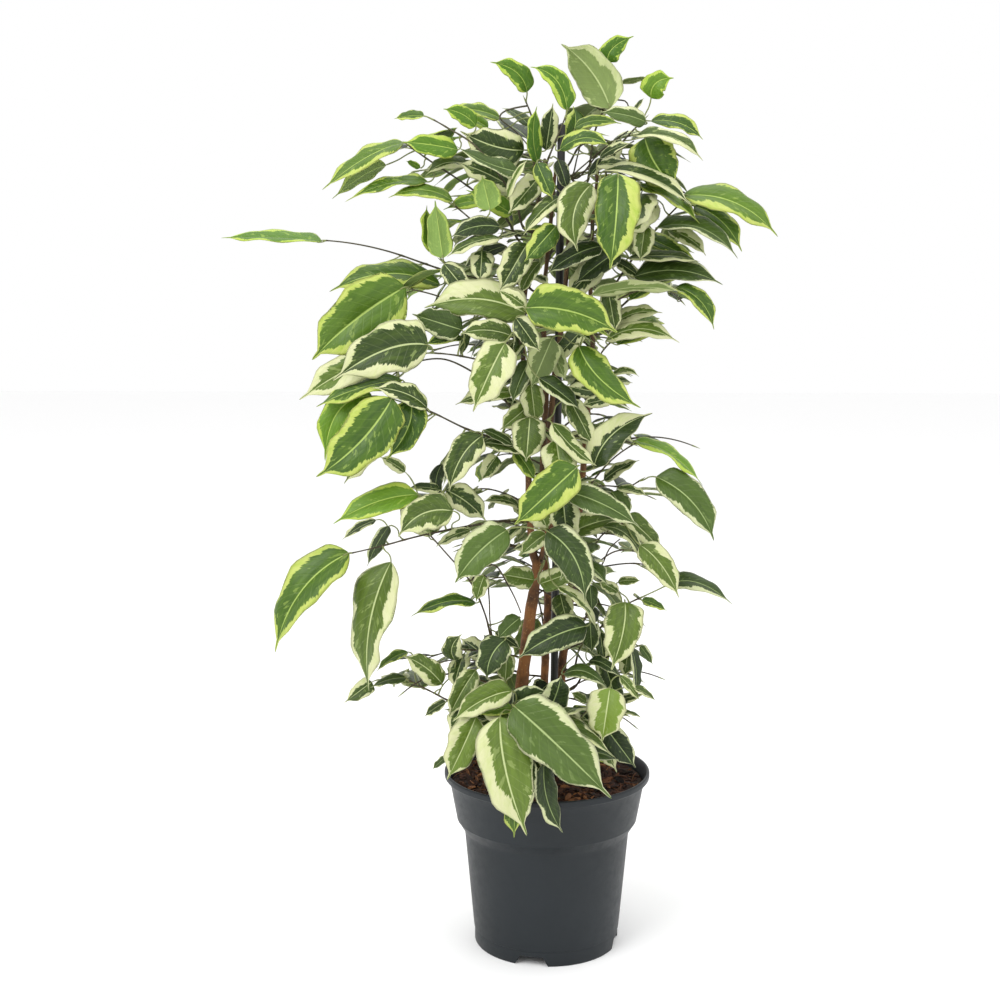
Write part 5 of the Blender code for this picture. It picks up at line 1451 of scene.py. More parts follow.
    def drawn_blade(self, root: Vector, heading: Vector, draw: random.Random, seed: int) -> Blade:
        """Draws a leaf that hangs outwards from a place on a twig.

        Args:
            root: The place.
            heading: The twig's direction there.
            draw: Where its shape is drawn from.
            seed: Its number.

        Returns:
            The blade.
        """
        out = (root - self.view.axis).to_2d().to_3d().normalized()
        aside = heading.cross(UP) * draw.choice((-1.0, 1.0))
        loose = Vector((draw.gauss(0.0, 0.5), draw.gauss(0.0, 0.5), draw.gauss(-0.45, 0.35)))
        along = (out * draw.uniform(0.0, 0.7) + aside * 0.8 + heading * 0.4 + loose).normalized()
        length = draw.uniform(*self.hidden_lengths) * MM
        stalk = draw.uniform(*self.hidden_stalks) * MM
        base = root + (along + aside * 0.5 + heading * 0.3).normalized() * stalk
        face = UP + out * 0.6 + Vector((draw.gauss(0.0, 0.3), draw.gauss(0.0, 0.3), 0.0))
        face = (face - along * face.dot(along)).normalized()
        width = length * draw.uniform(*self.hidden_widths)
        arch = face * self.arch_share * length
        return blade_between(base, base + along * length, face, width, arch, root, seed)

    def grow_shoots(self, crowding: Crowding) -> None:
        """Grows short leafy shoots from the stems, where there is room.

        Args:
            crowding: The space that is taken up.
        """
        draw = random.Random(self.shoot_draw)
        self.shoots: list[str] = []
        for number, line in enumerate(self.stem_lines):
            curve, length = curve_through([middle for middle, _ in line])
            count = round(length / (self.shoot_spacing * MM))
            for step in range(count):
                run = length * (step + draw.random()) / count
                root = curve.at(run)
                if not self.shoot_heights[0] < root.z / MM < self.shoot_heights[1]:
                    continue
                for _ in range(self.shoot_tries):
                    if self.grow_shoot(f"shoot_{number + 1}_{step + 1}", root, crowding, draw):
                        break
        LOG.info("%d shoots", len(self.shoots))

    def grow_shoot(self, name: str, root: Vector, crowding: Crowding, draw: random.Random) -> bool:
        """Tries to grow one shoot.

        Args:
            name: Its name.
            root: The middle of the stem where it starts.
            crowding: The space that is taken up.
            draw: Where its shape is drawn from.

        Returns:
            Whether enough of its leaves found room.
        """
        angle = draw.uniform(0.0, 2.0 * math.pi)
        size = draw.uniform(*self.shoot_lengths) * MM
        out = Vector((math.cos(angle), math.sin(angle), 0.0))
        rise = draw.uniform(0.1, 0.5)
        points = [root]
        for lift, share in ((rise, 0.35), (rise * 0.3, 0.35), (-0.25, 0.3)):
            points.append(points[-1] + (out + UP * lift) * size * share)
        line, length = curve_through(points)
        if any(crowding.cell(line.at(length * share)) in crowding.taken for share in self.shoot_probes):
            return False
        grown = []
        count = round(length / (self.hidden_spacing * self.shoot_looseness * MM))
        for step in range(1, count + 1):
            place = line.at(length * step / count)
            heading = (place - line.at(length * (step - 0.5) / count)).normalized()
            for _ in range(self.leaf_tries):
                seed = self.shoot_seed + draw.randrange(self.shoot_seeds)
                blade = self.drawn_blade(place, heading, draw, seed)
                fits = crowding.fits(blade, self.spare_points)
                if fits and all(self.apart(blade, other) for other in grown):
                    grown.append(blade)
                    break
        if len(grown) < self.shoot_leaves:
            return False
        self.shoots.append(name)
        self.twigs[name] = (line, length, [radius * MM for radius in self.shoot_radii])
        self.leaves[name] = []
        self.hidden[name] = grown
        self.stalks[name] = []
        for blade in grown:
            crowding.take(blade, False)
        return True

    @staticmethod
    def apart(one: Blade, other: Blade) -> bool:
        """Says whether two blades keep clear of each other."""
        points = Crowding.samples(other)[3:]
        return all((a - b).length > Crowding.CELL for a in Crowding.samples(one)[3:] for b in points)

    def fill(self) -> None:
        """Adds the leaves that the photograph hides or shows only as a dim mass, clear of the others."""
        crowding = Crowding(self.view)
        for piece in self.woods:
            crowding.take_piece(piece)
        for blades in self.leaves.values():
            for blade in blades:
                crowding.take(blade, True)
        crowding.close_gaps()
        self.grow_shoots(crowding)
        draw = random.Random(self.hidden_draw)
        places = []
        for name, (_, length, _) in self.twigs.items():
            count = round(length / (self.hidden_spacing * MM))
            if name not in self.shoots:
                places += [(name, length * (step + 0.5) / count) for step in range(count)]
        draw.shuffle(places)
        added = 0
        for number, (name, run) in enumerate(places):
            line = self.twigs[name][0]
            root = line.at(run)
            heading = (line.at(run + 0.001) - line.at(run - 0.001)).normalized()
            for _ in range(self.hidden_tries):
                blade = self.drawn_blade(root, heading, draw, self.hidden_seed + number)
                if crowding.fits(blade, self.spare_points):
                    self.hidden[name].append(blade)
                    crowding.take(blade, False)
                    added += 1
                    break
            if added >= self.hidden_count:
                break
        LOG.info("%d hidden leaves on %d places", added, len(places))

    def nearest_on_twig(self, name: str, point: Vector) -> Vector:
        """Finds the place on a twig's line nearest to a point.

        Args:
            name: The spray.
            point: The point.

        Returns:
            The place.
        """
        line, length, _ = self.twigs[name]
        return min(spaced(line, length, self.root_steps), key=lambda place: (place - point).length)

    def add_petiole(self, mesh: Mesh, name: str, blade: Blade, slot: int) -> None:
        """Adds a leaf's stalk, from the middle of its twig into the foot of the midrib.

        Args:
            mesh: Where it goes.
            name: The spray.
            blade: The leaf's blade.
            slot: The petiole's material number.
        """
        root = self.nearest_on_twig(name, blade.root)
        base = blade.midrib.at(0.0)
        inner = blade.midrib.at(0.06) - blade.normal(0.06) * 0.3 * MM
        reach = (base - root).length
        out = (base - root).normalized()
        soft = (out * 0.75 + blade.heading(0.02) * 0.25).normalized()
        bend = base - soft * reach * 0.45
        line, length = curve_through([root, root + out * reach * 0.3, bend, base, inner])
        count = max(6, round(length / (self.petiole_step * MM)))
        radii = []
        for step in range(count + 1):
            t = step / count
            swell = 1.0 + 0.45 * hump(t, 0.12) + 0.2 * hump(t - 0.85, 0.1)
            radii.append(self.petiole_radius * MM * swell * (1.0 if t < 0.8 else 1.0 - 2.2 * (t - 0.8)))
        mesh.add_tube(spaced(line, length, count), radii, self.stalk_sides, slot, **PLAIN_TONE)

    def add_twig(self, mesh: Mesh, name: str) -> None:
        """Adds a spray's twig with a swelling at each petiole and a pointed bud at its end.

        Args:
            mesh: Where it goes.
            name: The spray.
        """
        line, length, ends = self.twigs[name]
        count = max(8, round(length / (self.twig_step * MM)))
        centres = spaced(line, length, count)
        joints = [self.nearest_on_twig(name, blade.root) for blade in self.leaves[name] + self.hidden[name]]
        radii = []
        for step, centre in enumerate(centres):
            share = step / count
            radius = (ends[0] + (ends[1] - ends[0]) * share) * self.twig_slimness * (1.0 - 0.18 * share)
            near = min(((centre - joint).length for joint in joints), default=1.0)
            swell = 1.0 + 0.3 * hump(near, 2.2 * MM)
            foot = 1.0 + 0.7 * hump(share * length, 3.0 * MM)
            radii.append(radius * swell * foot)
        mesh.add_tube(centres, radii, self.twig_sides)
        for stalk in self.stalks[name]:
            line, length = curve_through(stalk)
            count = max(6, round(length / (self.stalk_step * MM)))
            radii = [self.petiole_radius * MM * (1.35 - 0.45 * step / count) for step in range(count + 1)]
            mesh.add_tube(spaced(line, length, count), radii, self.stalk_sides)

    def add_bud(self, mesh: Mesh, name: str, slot: int) -> None:
        """Adds the rolled pointed bud that ends a twig.

        Args:
            mesh: Where it goes.
            name: The spray.
            slot: The bud's material number.
        """
        line, length, ends = self.twigs[name]
        tip = line.at(length)
        heading = (tip - line.at(length - 2.0 * MM)).normalized()
        count = self.bud_rings
        size = self.bud_length * MM
        centres = [tip + heading * size * (step / count - 0.1) for step in range(count + 1)]
        radii = [
            ends[1] * self.twig_slimness * 0.95 * (1.0 - (step / count) ** 1.6) + 0.05 * MM
            for step in range(count + 1)
        ]
        mesh.add_tube(centres, radii, self.bud_sides, slot, **PLAIN_TONE)

    def dress(self, label: str, names: Sequence[str], nodes: Sequence[str]) -> list[bpy.types.Object]:
        """Builds the leaves with their stalks as one piece, and the twigs as another.

        Args:
            label: What the pieces' names end with.
            names: The sprays or shoots.
            nodes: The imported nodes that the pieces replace.

        Returns:
            The leaves' piece and the twigs' piece.
        """
        materials = [*self.leaf_materials, self.petiole_material]
        kinds = [finish.kind for finish in LEAF_FINISHES]
        leafy, woody = Mesh(), Mesh()
        for name in names:
            for form, blades in ((self.form, self.leaves[name]), (self.hidden_form, self.hidden[name])):
                for blade in blades:
                    tone = random.Random(blade.seed + 11).uniform(-0.2, 0.38)
                    kind, skew = self.looks.looks_of(blade)
                    # Painted shade: hidden leaves are darkened. The lift adds painted shade near the stems and
                    # painted sheen on some listed leaves.
                    shade = self.hidden_painted_shade if form is self.hidden_form else 0.0
                    tone += self.looks.lift_of(blade) - shade
                    form.add_blade(leafy, blade, kinds.index(kind), tone, skew)
                    self.add_petiole(leafy, name, blade, len(materials) - 1)
            self.add_bud(leafy, name, len(materials) - 1)
            self.add_twig(woody, name)
        leaves = leafy.build(f"leaves_{label}", materials)
        pieces = [leaves, woody.build(f"twig_{label}", [self.twig_material])]
        for piece, slot in zip(pieces, ("fig_leaf", "fig_bark")):
            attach(piece, BODY)
            for node in nodes:
                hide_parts(node)
        return pieces

    def build(self) -> None:
        """Builds every spray, and the shoots stem by stem."""
        pieces = []
        for name in self.leaves:
            if name not in self.shoots:
                pieces += self.dress(name.removeprefix("spray_"), [name], [name])
        for number in range(len(self.stem_lines)):
            names = [name for name in self.shoots if name.startswith(f"shoot_{number + 1}_")]
            if names:
                pieces += self.dress(f"shoots_{number + 1}", names, [])
        triangles = sum(len(face.vertices) - 2 for piece in pieces for face in piece.data.polygons)
        leaves = sum(map(len, self.leaves.values())) + sum(map(len, self.hidden.values()))
        LOG.info("%d pieces, %d leaves, %d triangles", len(pieces), leaves, triangles)


# Stems and cane


class StemReader:
    """Reads the lines of a packed stem, its fork too, from level cuts through it."""

    FORK_DROP = 0.02
    INSET = 0.001

    def __init__(self, node: bpy.types.Object, step: float) -> None:
        """Cuts the stem at even heights.

        Args:
            node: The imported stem.
            step: The distance between cuts.
        """
        self.node = node
        low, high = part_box(node.name)
        run = high.z - low.z - 2.0 * self.INSET
        count = max(3, round(run / step))
        heights = [low.z + self.INSET + run * index / count for index in range(count + 1)]
        self.lines: list[list[Ring]] = []
        for height in heights:
            self.join(self.cut(height), step)

    def cut(self, height: float) -> list[Ring]:
        """Cuts the stem level.

        Args:
            height: The cut's height.

        Returns:
            The middle and radius of each round cut.
        """
        shape = bmesh.new()
        shape.from_mesh(self.node.data)
        bmesh.ops.remove_doubles(shape, verts=shape.verts, dist=SprayReader.MERGE)
        geometry = [*shape.verts, *shape.edges, *shape.faces]
        made = bmesh.ops.bisect_plane(shape, geom=geometry, plane_co=UP * height, plane_no=UP)
        waiting = [item for item in made["geom_cut"] if isinstance(item, bmesh.types.BMVert)]
        waiting.sort(key=lambda corner: tuple(corner.co))
        cut_edges = {item for item in made["geom_cut"] if isinstance(item, bmesh.types.BMEdge)}
        found = []
        while waiting:
            loop = [waiting.pop(0)]
            for corner in loop:
                for edge in corner.link_edges:
                    other = edge.other_vert(corner)
                    if edge in cut_edges and other in waiting:
                        waiting.remove(other)
                        loop.append(other)
            middle = sum((corner.co for corner in loop), Vector()) / len(loop)
            found.append((middle, sum((corner.co - middle).length for corner in loop) / len(loop)))
        shape.free()
        return found

    def join(self, cuts: list[Ring], step: float) -> None:
        """Adds a level's cuts to the lines below them.

        Args:
            cuts: Middles and radii at one height.
            step: The distance between cuts.
        """
        open_lines = list(self.lines)
        for middle, radius in cuts:
            near = [line for line in open_lines if (line[-1][0] - middle).length < step * 1.8]
            if near:
                line = min(near, key=lambda found: (found[-1][0] - middle).length)
                open_lines.remove(line)
                line.append((middle, min(radius, line[-1][1] * 1.12)))
            elif self.lines:
                fork = min(self.lines, key=lambda found: min((place - middle).length for place, _ in found))
                foot = min(
                    fork,
                    key=lambda ring: (ring[0] - middle).length + abs(ring[0].z - middle.z + self.FORK_DROP),
                )
                self.lines.append([(foot[0], radius), (middle, radius)])
            else:
                self.lines.append([(middle, radius)])


@dataclass
class WoodyStems:
    """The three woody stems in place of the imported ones, round and with knots where leaves once grew."""

    nodes: tuple[str, ...] = ("stem_main", "stem_right", "stem_back")
    cut_step: float = 9.0
    ring_step: float = 2.5
    sides: int = 22
    knot_spacing: float = 23.0
    knot_height: float = 0.10
    knot_width: float = 2.4
    lump_share: float = 0.07
    first_seed: int = 40
    lines: list[list[Ring]] = field(default_factory=list)

    def build(self) -> list[bpy.types.Object]:
        """Builds each stem.

        Returns:
            The pieces.
        """
        pieces = []
        bark = BarkFinish("fig_stem_bark", "#4c301a", "#935e30", "#b98c58", "#4a3a24").build()
        for name in self.nodes:
            reader = StemReader(frame["nodes"][name], self.cut_step * MM)
            mesh = Mesh()
            for number, line in enumerate(reader.lines):
                if len(line) > 2:
                    self.add_line(mesh, line, number)
                    self.lines.append(line)
            piece = mesh.build(f"{name}_bark", [bark])
            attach(piece, BODY)
            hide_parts(name)
            pieces.append(piece)
            LOG.info("%s: %d lines", name, len(reader.lines))
        return pieces

    def add_line(self, mesh: Mesh, line: list[Ring], number: int) -> None:
        """Adds one stem or fork.

        Args:
            mesh: Where it goes.
            line: Its middles and radii, from the foot up.
            number: Its number, which its knots and lumps are drawn from.
        """
        curve, length = curve_through([middle for middle, _ in line])
        knots = [0.0]
        for (low, _), (high, _) in zip(line, line[1:]):
            knots.append(knots[-1] + (high - low).length)
        girth = SmoothCurve(knots, [Vector((radius, 0.0, 0.0)) for _, radius in line])
        count = max(10, round(length / (self.ring_step * MM)))
        draw = random.Random(self.first_seed + number)
        knots_at = []
        run = draw.uniform(0.4, 1.0) * self.knot_spacing * MM
        while run < length:
            knots_at.append(run)
            run += draw.uniform(0.7, 1.3) * self.knot_spacing * MM
        radii = []
        for step in range(count + 1):
            run = length * step / count
            near = min((abs(run - knot) for knot in knots_at), default=1.0)
            swell = 1.0 + self.knot_height * hump(near, self.knot_width * MM)
            radii.append(girth.at(run).x * swell)

        def lump(ring: int, side: int) -> float:
            """Gives the bark's small unevenness for a ring and a side."""
            angle = 2.0 * math.pi * side / self.sides
            along = ring * self.ring_step * 0.09 + number * 9.0
            spot = Vector((math.cos(angle) * 1.6, math.sin(angle) * 1.6, along))
            return 1.0 + self.lump_share * noise.noise(spot)

        mesh.add_tube(spaced(curve, length, count), radii, self.sides, rough=lump)


@dataclass(frozen=True)
class CaneFinish:
    """Dyed bamboo cane: a hard skin with fine lengthwise grain, near black, a little shiny."""

    dark: str = "#131214"
    worn: str = "#34312f"
    roughness: float = 0.4

    def build(self) -> bpy.types.Material:
        """Makes the material."""
        nodes = NodeKit("dyed_bamboo_cane")
        grain = nodes.noise(nodes.scaled(nodes.where(), (1.0, 1.0, 0.04)), 1500.0, 3.0)
        colour = nodes.blend(nodes.span(grain, 0.45, 0.7, 0.0, 0.7), self.dark, self.worn)
        nodes.bump(grain, 0.3, 0.0002)
        return nodes.close({"Base Color": colour, "Roughness": self.roughness})


@dataclass
class SupportCane:
    """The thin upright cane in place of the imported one, with its nodes."""

    node: str = "support_cane"
    sides: int = 20
    cut_step: float = 20.0
    ring_step: float = 2.0
    joint_spacing: float = 96.0
    joint_start: float = 30.0
    joint_height: float = 0.09
    joint_width: float = 1.6

    def build(self) -> bpy.types.Object:
        """Builds the cane.

        Returns:
            The piece.
        """
        reader = StemReader(frame["nodes"][self.node], self.cut_step * MM)
        line = max(reader.lines, key=len)
        curve, length = curve_through([middle for middle, _ in line])
        radius = sum(girth for _, girth in line[2:-2]) / len(line[2:-2])
        count = round(length / (self.ring_step * MM))
        radii = []
        for step in range(count + 1):
            run = (length * step / count) / MM
            off = (run + self.joint_start) % self.joint_spacing
            near = min(off, self.joint_spacing - off)
            radii.append(radius * (1.0 + self.joint_height * hump(near, self.joint_width)))
        mesh = Mesh()
        mesh.add_tube(spaced(curve, length, count), radii, self.sides)
        piece = mesh.build("support_cane_bamboo", [CaneFinish().build()])
        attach(piece, BODY)
        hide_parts(self.node)
        LOG.info("cane: %.0f mm", length / MM)
        return piece


# Pot and soil


@dataclass(frozen=True)
class PotFinish:
    """Injection moulded polypropylene, slate grey: a satin skin with faint flow marks and scuffs."""

    grey: str = "#0f161a"
    lighter: str = "#161d22"
    roughness: float = 0.44
    ior: float = 1.40

    def build(self) -> bpy.types.Material:
        """Makes the material."""
        nodes = NodeKit("moulded_polypropylene_slate")
        where = nodes.where()
        flow = nodes.span(nodes.noise(where, 14.0, 3.0), 0.35, 0.65, 0.0, 0.7)
        colour = nodes.blend(flow, self.grey, self.lighter)
        scuffs = nodes.noise(where, 120.0, 6.0, 0.75)
        dull = nodes.span(scuffs, 0.3, 0.7, self.roughness - 0.05, self.roughness + 0.10)
        nodes.bump(nodes.noise(where, 1400.0, 2.0), 0.22, 0.0002)
        return nodes.close({"Base Color": colour, "Roughness": dull, "IOR": self.ior})


@dataclass
class GrowerPot:
    """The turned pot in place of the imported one: rolled rim, band, step, body, notched foot. Millimetres."""

    axis: Vector
    height: float = 147.0
    rim: float = 85.0
    lip_depth: float = 5.4
    band_top: float = 82.3
    band_foot: float = 74.8
    band_foot_height: float = 107.0
    step_foot_height: float = 97.0
    body_top: float = 68.3
    body_foot: float = 60.6
    crease_height: float = 12.0
    foot: float = 60.0
    wall: float = 1.7
    floor_underside: float = 8.2
    floor_top: float = 10.0
    segments: int = 144
    notches: int = 4
    notch_wide: float = 30.0
    notch_narrow: float = 18.6
    notch_angle: float = math.radians(-11.6)
    drain_holes: int = 6
    drain_radius: float = 4.5
    drain_circle: float = 38.0
    drain_sides: int = 24
    drain_depth: float = 8.0
    cut_depth: float = 12.0
    sharp_angle: float = math.radians(34)

    def arc(
        self, middle: tuple[float, float], radius: float, start: float, end: float, steps: int
    ) -> list[Place]:
        """Gives points of a round stretch of the profile.

        Args:
            middle: Its middle as radius and height.
            radius: Its radius.
            start: The angle it starts at, in degrees from outwards.
            end: The angle it ends at.
            steps: How many steps it has.

        Returns:
            Points of radius and height.
        """
        angles = [math.radians(start + (end - start) * step / steps) for step in range(steps + 1)]
        out, up = middle
        return [(out + radius * math.cos(angle), up + radius * math.sin(angle)) for angle in angles]

    def profile(self) -> list[Place]:
        """Gives the wall's closed profile, from the rim down the outside and up the inside."""
        lip = 1.3
        return [
            *self.arc((self.rim - lip, self.height - lip), lip, 90, 0, 5),
            *self.arc((self.rim - lip, self.height - self.lip_depth + lip), lip, 0, -90, 5),
            (self.band_top + 0.3, self.height - self.lip_depth - 0.05),
            (self.band_top, self.height - self.lip_depth - 0.5),
            (self.band_top - 0.35 * (self.band_top - self.band_foot), self.height - 0.38 * 35.0),
            (self.band_foot + 0.15, self.band_foot_height + 0.9),
            *self.arc((self.band_foot - 1.6, self.band_foot_height), 1.6, 0, -58, 5),
            (self.body_top + 1.7, self.step_foot_height + 1.9),
            (self.body_top + 0.7, self.step_foot_height + 0.6),
            (self.body_top + 0.1, self.step_foot_height - 1.2),
            (self.body_top - 0.3, self.step_foot_height - 4.0),
            (self.body_foot + 0.35, self.crease_height + 4.0),
            (self.body_foot, self.crease_height + 0.6),
            (self.foot - 0.1, self.crease_height + 0.1),
            (self.foot, self.crease_height - 0.8),
            (self.foot, 0.9),
            (self.foot - 0.6, 0.0),
            (self.foot - 2.0, 0.0),
            (self.foot - 2.4, 0.5),
            (self.foot - 2.4, self.floor_underside),
            (0.0, self.floor_underside),
            (0.0, self.floor_top),
            (self.body_foot - self.wall - 2.0, self.floor_top),
            (self.body_foot - self.wall, self.floor_top + 2.0),
            (self.body_top - self.wall, self.step_foot_height - 0.6),
            (self.band_foot - self.wall, self.band_foot_height + 0.6),
            (self.band_top - self.wall, self.height - self.lip_depth),
            (self.rim - 2.7, self.height - 1.2),
            (self.rim - 2.2, self.height - 0.25),
        ]

    def turned(self) -> bpy.types.Object:
        """Turns the profile about the pot's axis."""
        shape = bmesh.new()
        rows = []
        for radius, height in self.profile():
            if radius == 0.0:
                rows.append([shape.verts.new(self.axis + Vector((0.0, 0.0, height * MM)))])
                continue
            row = []
            for step in range(self.segments):
                angle = 2.0 * math.pi * step / self.segments
                out = Vector((math.cos(angle) * radius, math.sin(angle) * radius, height)) * MM
                row.append(shape.verts.new(self.axis + out))
            rows.append(row)
        for low, high in zip(rows, rows[1:] + rows[:1]):
            for step in range(self.segments):
                after = (step + 1) % self.segments
                around = ((low, step), (low, after), (high, after), (high, step))
                corners = list(dict.fromkeys(row[place % len(row)] for row, place in around))
                if len(corners) > 2:
                    shape.faces.new(corners)
        bmesh.ops.recalc_face_normals(shape, faces=shape.faces)
        mesh = bpy.data.meshes.new("grower_pot")
        shape.to_mesh(mesh)
        shape.free()
        made = bpy.data.objects.new("grower_pot", mesh)
        bpy.context.scene.collection.objects.link(made)
        return made

    def cut(self, pot: bpy.types.Object) -> None:
        """Cuts the notches in the foot and the drain holes in the floor.

        Args:
            pot: The turned pot.
        """
        cutters = bpy.data.collections.new("pot_cutters")
        bpy.context.scene.collection.children.link(cutters)
        for index in range(self.notches):
            angle = self.notch_angle + index * 2.0 * math.pi / self.notches
            shape = bmesh.new()
            bmesh.ops.create_cube(shape, size=1.0)
            for corner in shape.verts:
                low = corner.co.z < 0.0
                corner.co.x *= (self.notch_wide if low else self.notch_narrow) * MM
                corner.co.y *= self.cut_depth * MM
                corner.co.z = (-2.0 if low else self.floor_underside - 0.4) * MM
            place = self.axis + Vector((math.sin(angle), -math.cos(angle), 0.0)) * self.foot * MM
            stand = Matrix.Translation(place) @ Matrix.Rotation(angle, 4, "Z")
            self.add_cutter(shape, f"notch_{index + 1}", stand, cutters)
        for index in range(self.drain_holes):
            angle = (index + 0.5) * 2.0 * math.pi / self.drain_holes
            shape = bmesh.new()
            radius = self.drain_radius * MM
            bmesh.ops.create_cone(
                shape, cap_ends=True, segments=self.drain_sides, radius1=radius, radius2=radius,
                depth=self.drain_depth * MM,
            )
            place = Vector((math.cos(angle), math.sin(angle), 0.0)) * self.drain_circle * MM
            place += self.axis + Vector((0.0, 0.0, self.floor_top * MM))
            self.add_cutter(shape, f"drain_{index + 1}", Matrix.Translation(place), cutters)
        join = pot.modifiers.new("cut", "BOOLEAN")
        join.operation = "DIFFERENCE"
        join.operand_type = "COLLECTION"
        join.collection = cutters
        join.solver = "EXACT"
        graph = bpy.context.evaluated_depsgraph_get()
        mesh = bpy.data.meshes.new_from_object(pot.evaluated_get(graph))
        pot.modifiers.clear()
        pot.data = mesh
        for made in list(cutters.objects):
            bpy.data.objects.remove(made)
        bpy.data.collections.remove(cutters)

    @staticmethod
    def add_cutter(shape: bmesh.types.BMesh, name: str, place: Matrix, cutters: bpy.types.Collection) -> None:
        """Puts a cutter's shape in the cutters' collection.

        Args:
            shape: Its shape, which is freed.
            name: Its name.
            place: Where it stands.
            cutters: The collection.
        """
        bmesh.ops.recalc_face_normals(shape, faces=shape.faces)
        mesh = bpy.data.meshes.new(name)
        shape.to_mesh(mesh)
        shape.free()
        made = bpy.data.objects.new(name, mesh)
        made.matrix_world = place
        cutters.objects.link(made)

    def build(self) -> None:
        """Builds the pot."""
        pot = self.turned()
        self.cut(pot)
        pot.data.materials.clear()
        pot.data.materials.append(PotFinish().build())
        pot.data.polygons.foreach_set("use_smooth", [True] * len(pot.data.polygons))
        pot.data.set_sharp_from_angle(angle=self.sharp_angle)
        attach(pot, BODY)
        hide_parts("pot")
        LOG.info("pot: %d faces", len(pot.data.polygons))


@dataclass(frozen=True)
class SoilFinish:
    """Peat and composted bark: crumbly, dull, dark red brown, with lighter shreds of fresh bark."""

    name: str = "peat_and_bark"
    dark: str = "#140b07"
    brown: str = "#4d2a17"
    light: str = "#a06a3c"
    roughness: float = 0.88

    def build(self) -> bpy.types.Material:
        """Makes the material, its lightness read from each piece's own value."""
        nodes = NodeKit(self.name)
        crumbs = nodes.noise(nodes.where(), 420.0, 5.0, 0.7)
        share = nodes.math("MULTIPLY_ADD", crumbs, 0.7, -0.35, clamp=True)
        share = nodes.math("ADD", share, nodes.own("bark_tone"), clamp=True)
        ramp = add_node(nodes.tree, "ShaderNodeValToRGB", None, {0: share})
        stops = ramp.color_ramp.elements
        stops[0].color = linear(self.dark)
        stops[1].color = linear(self.light)
        stops.new(0.5).color = linear(self.brown)
        nodes.bump(crumbs, 0.7, 0.001)
        return nodes.close({"Base Color": ramp.outputs[0], "Roughness": self.roughness})


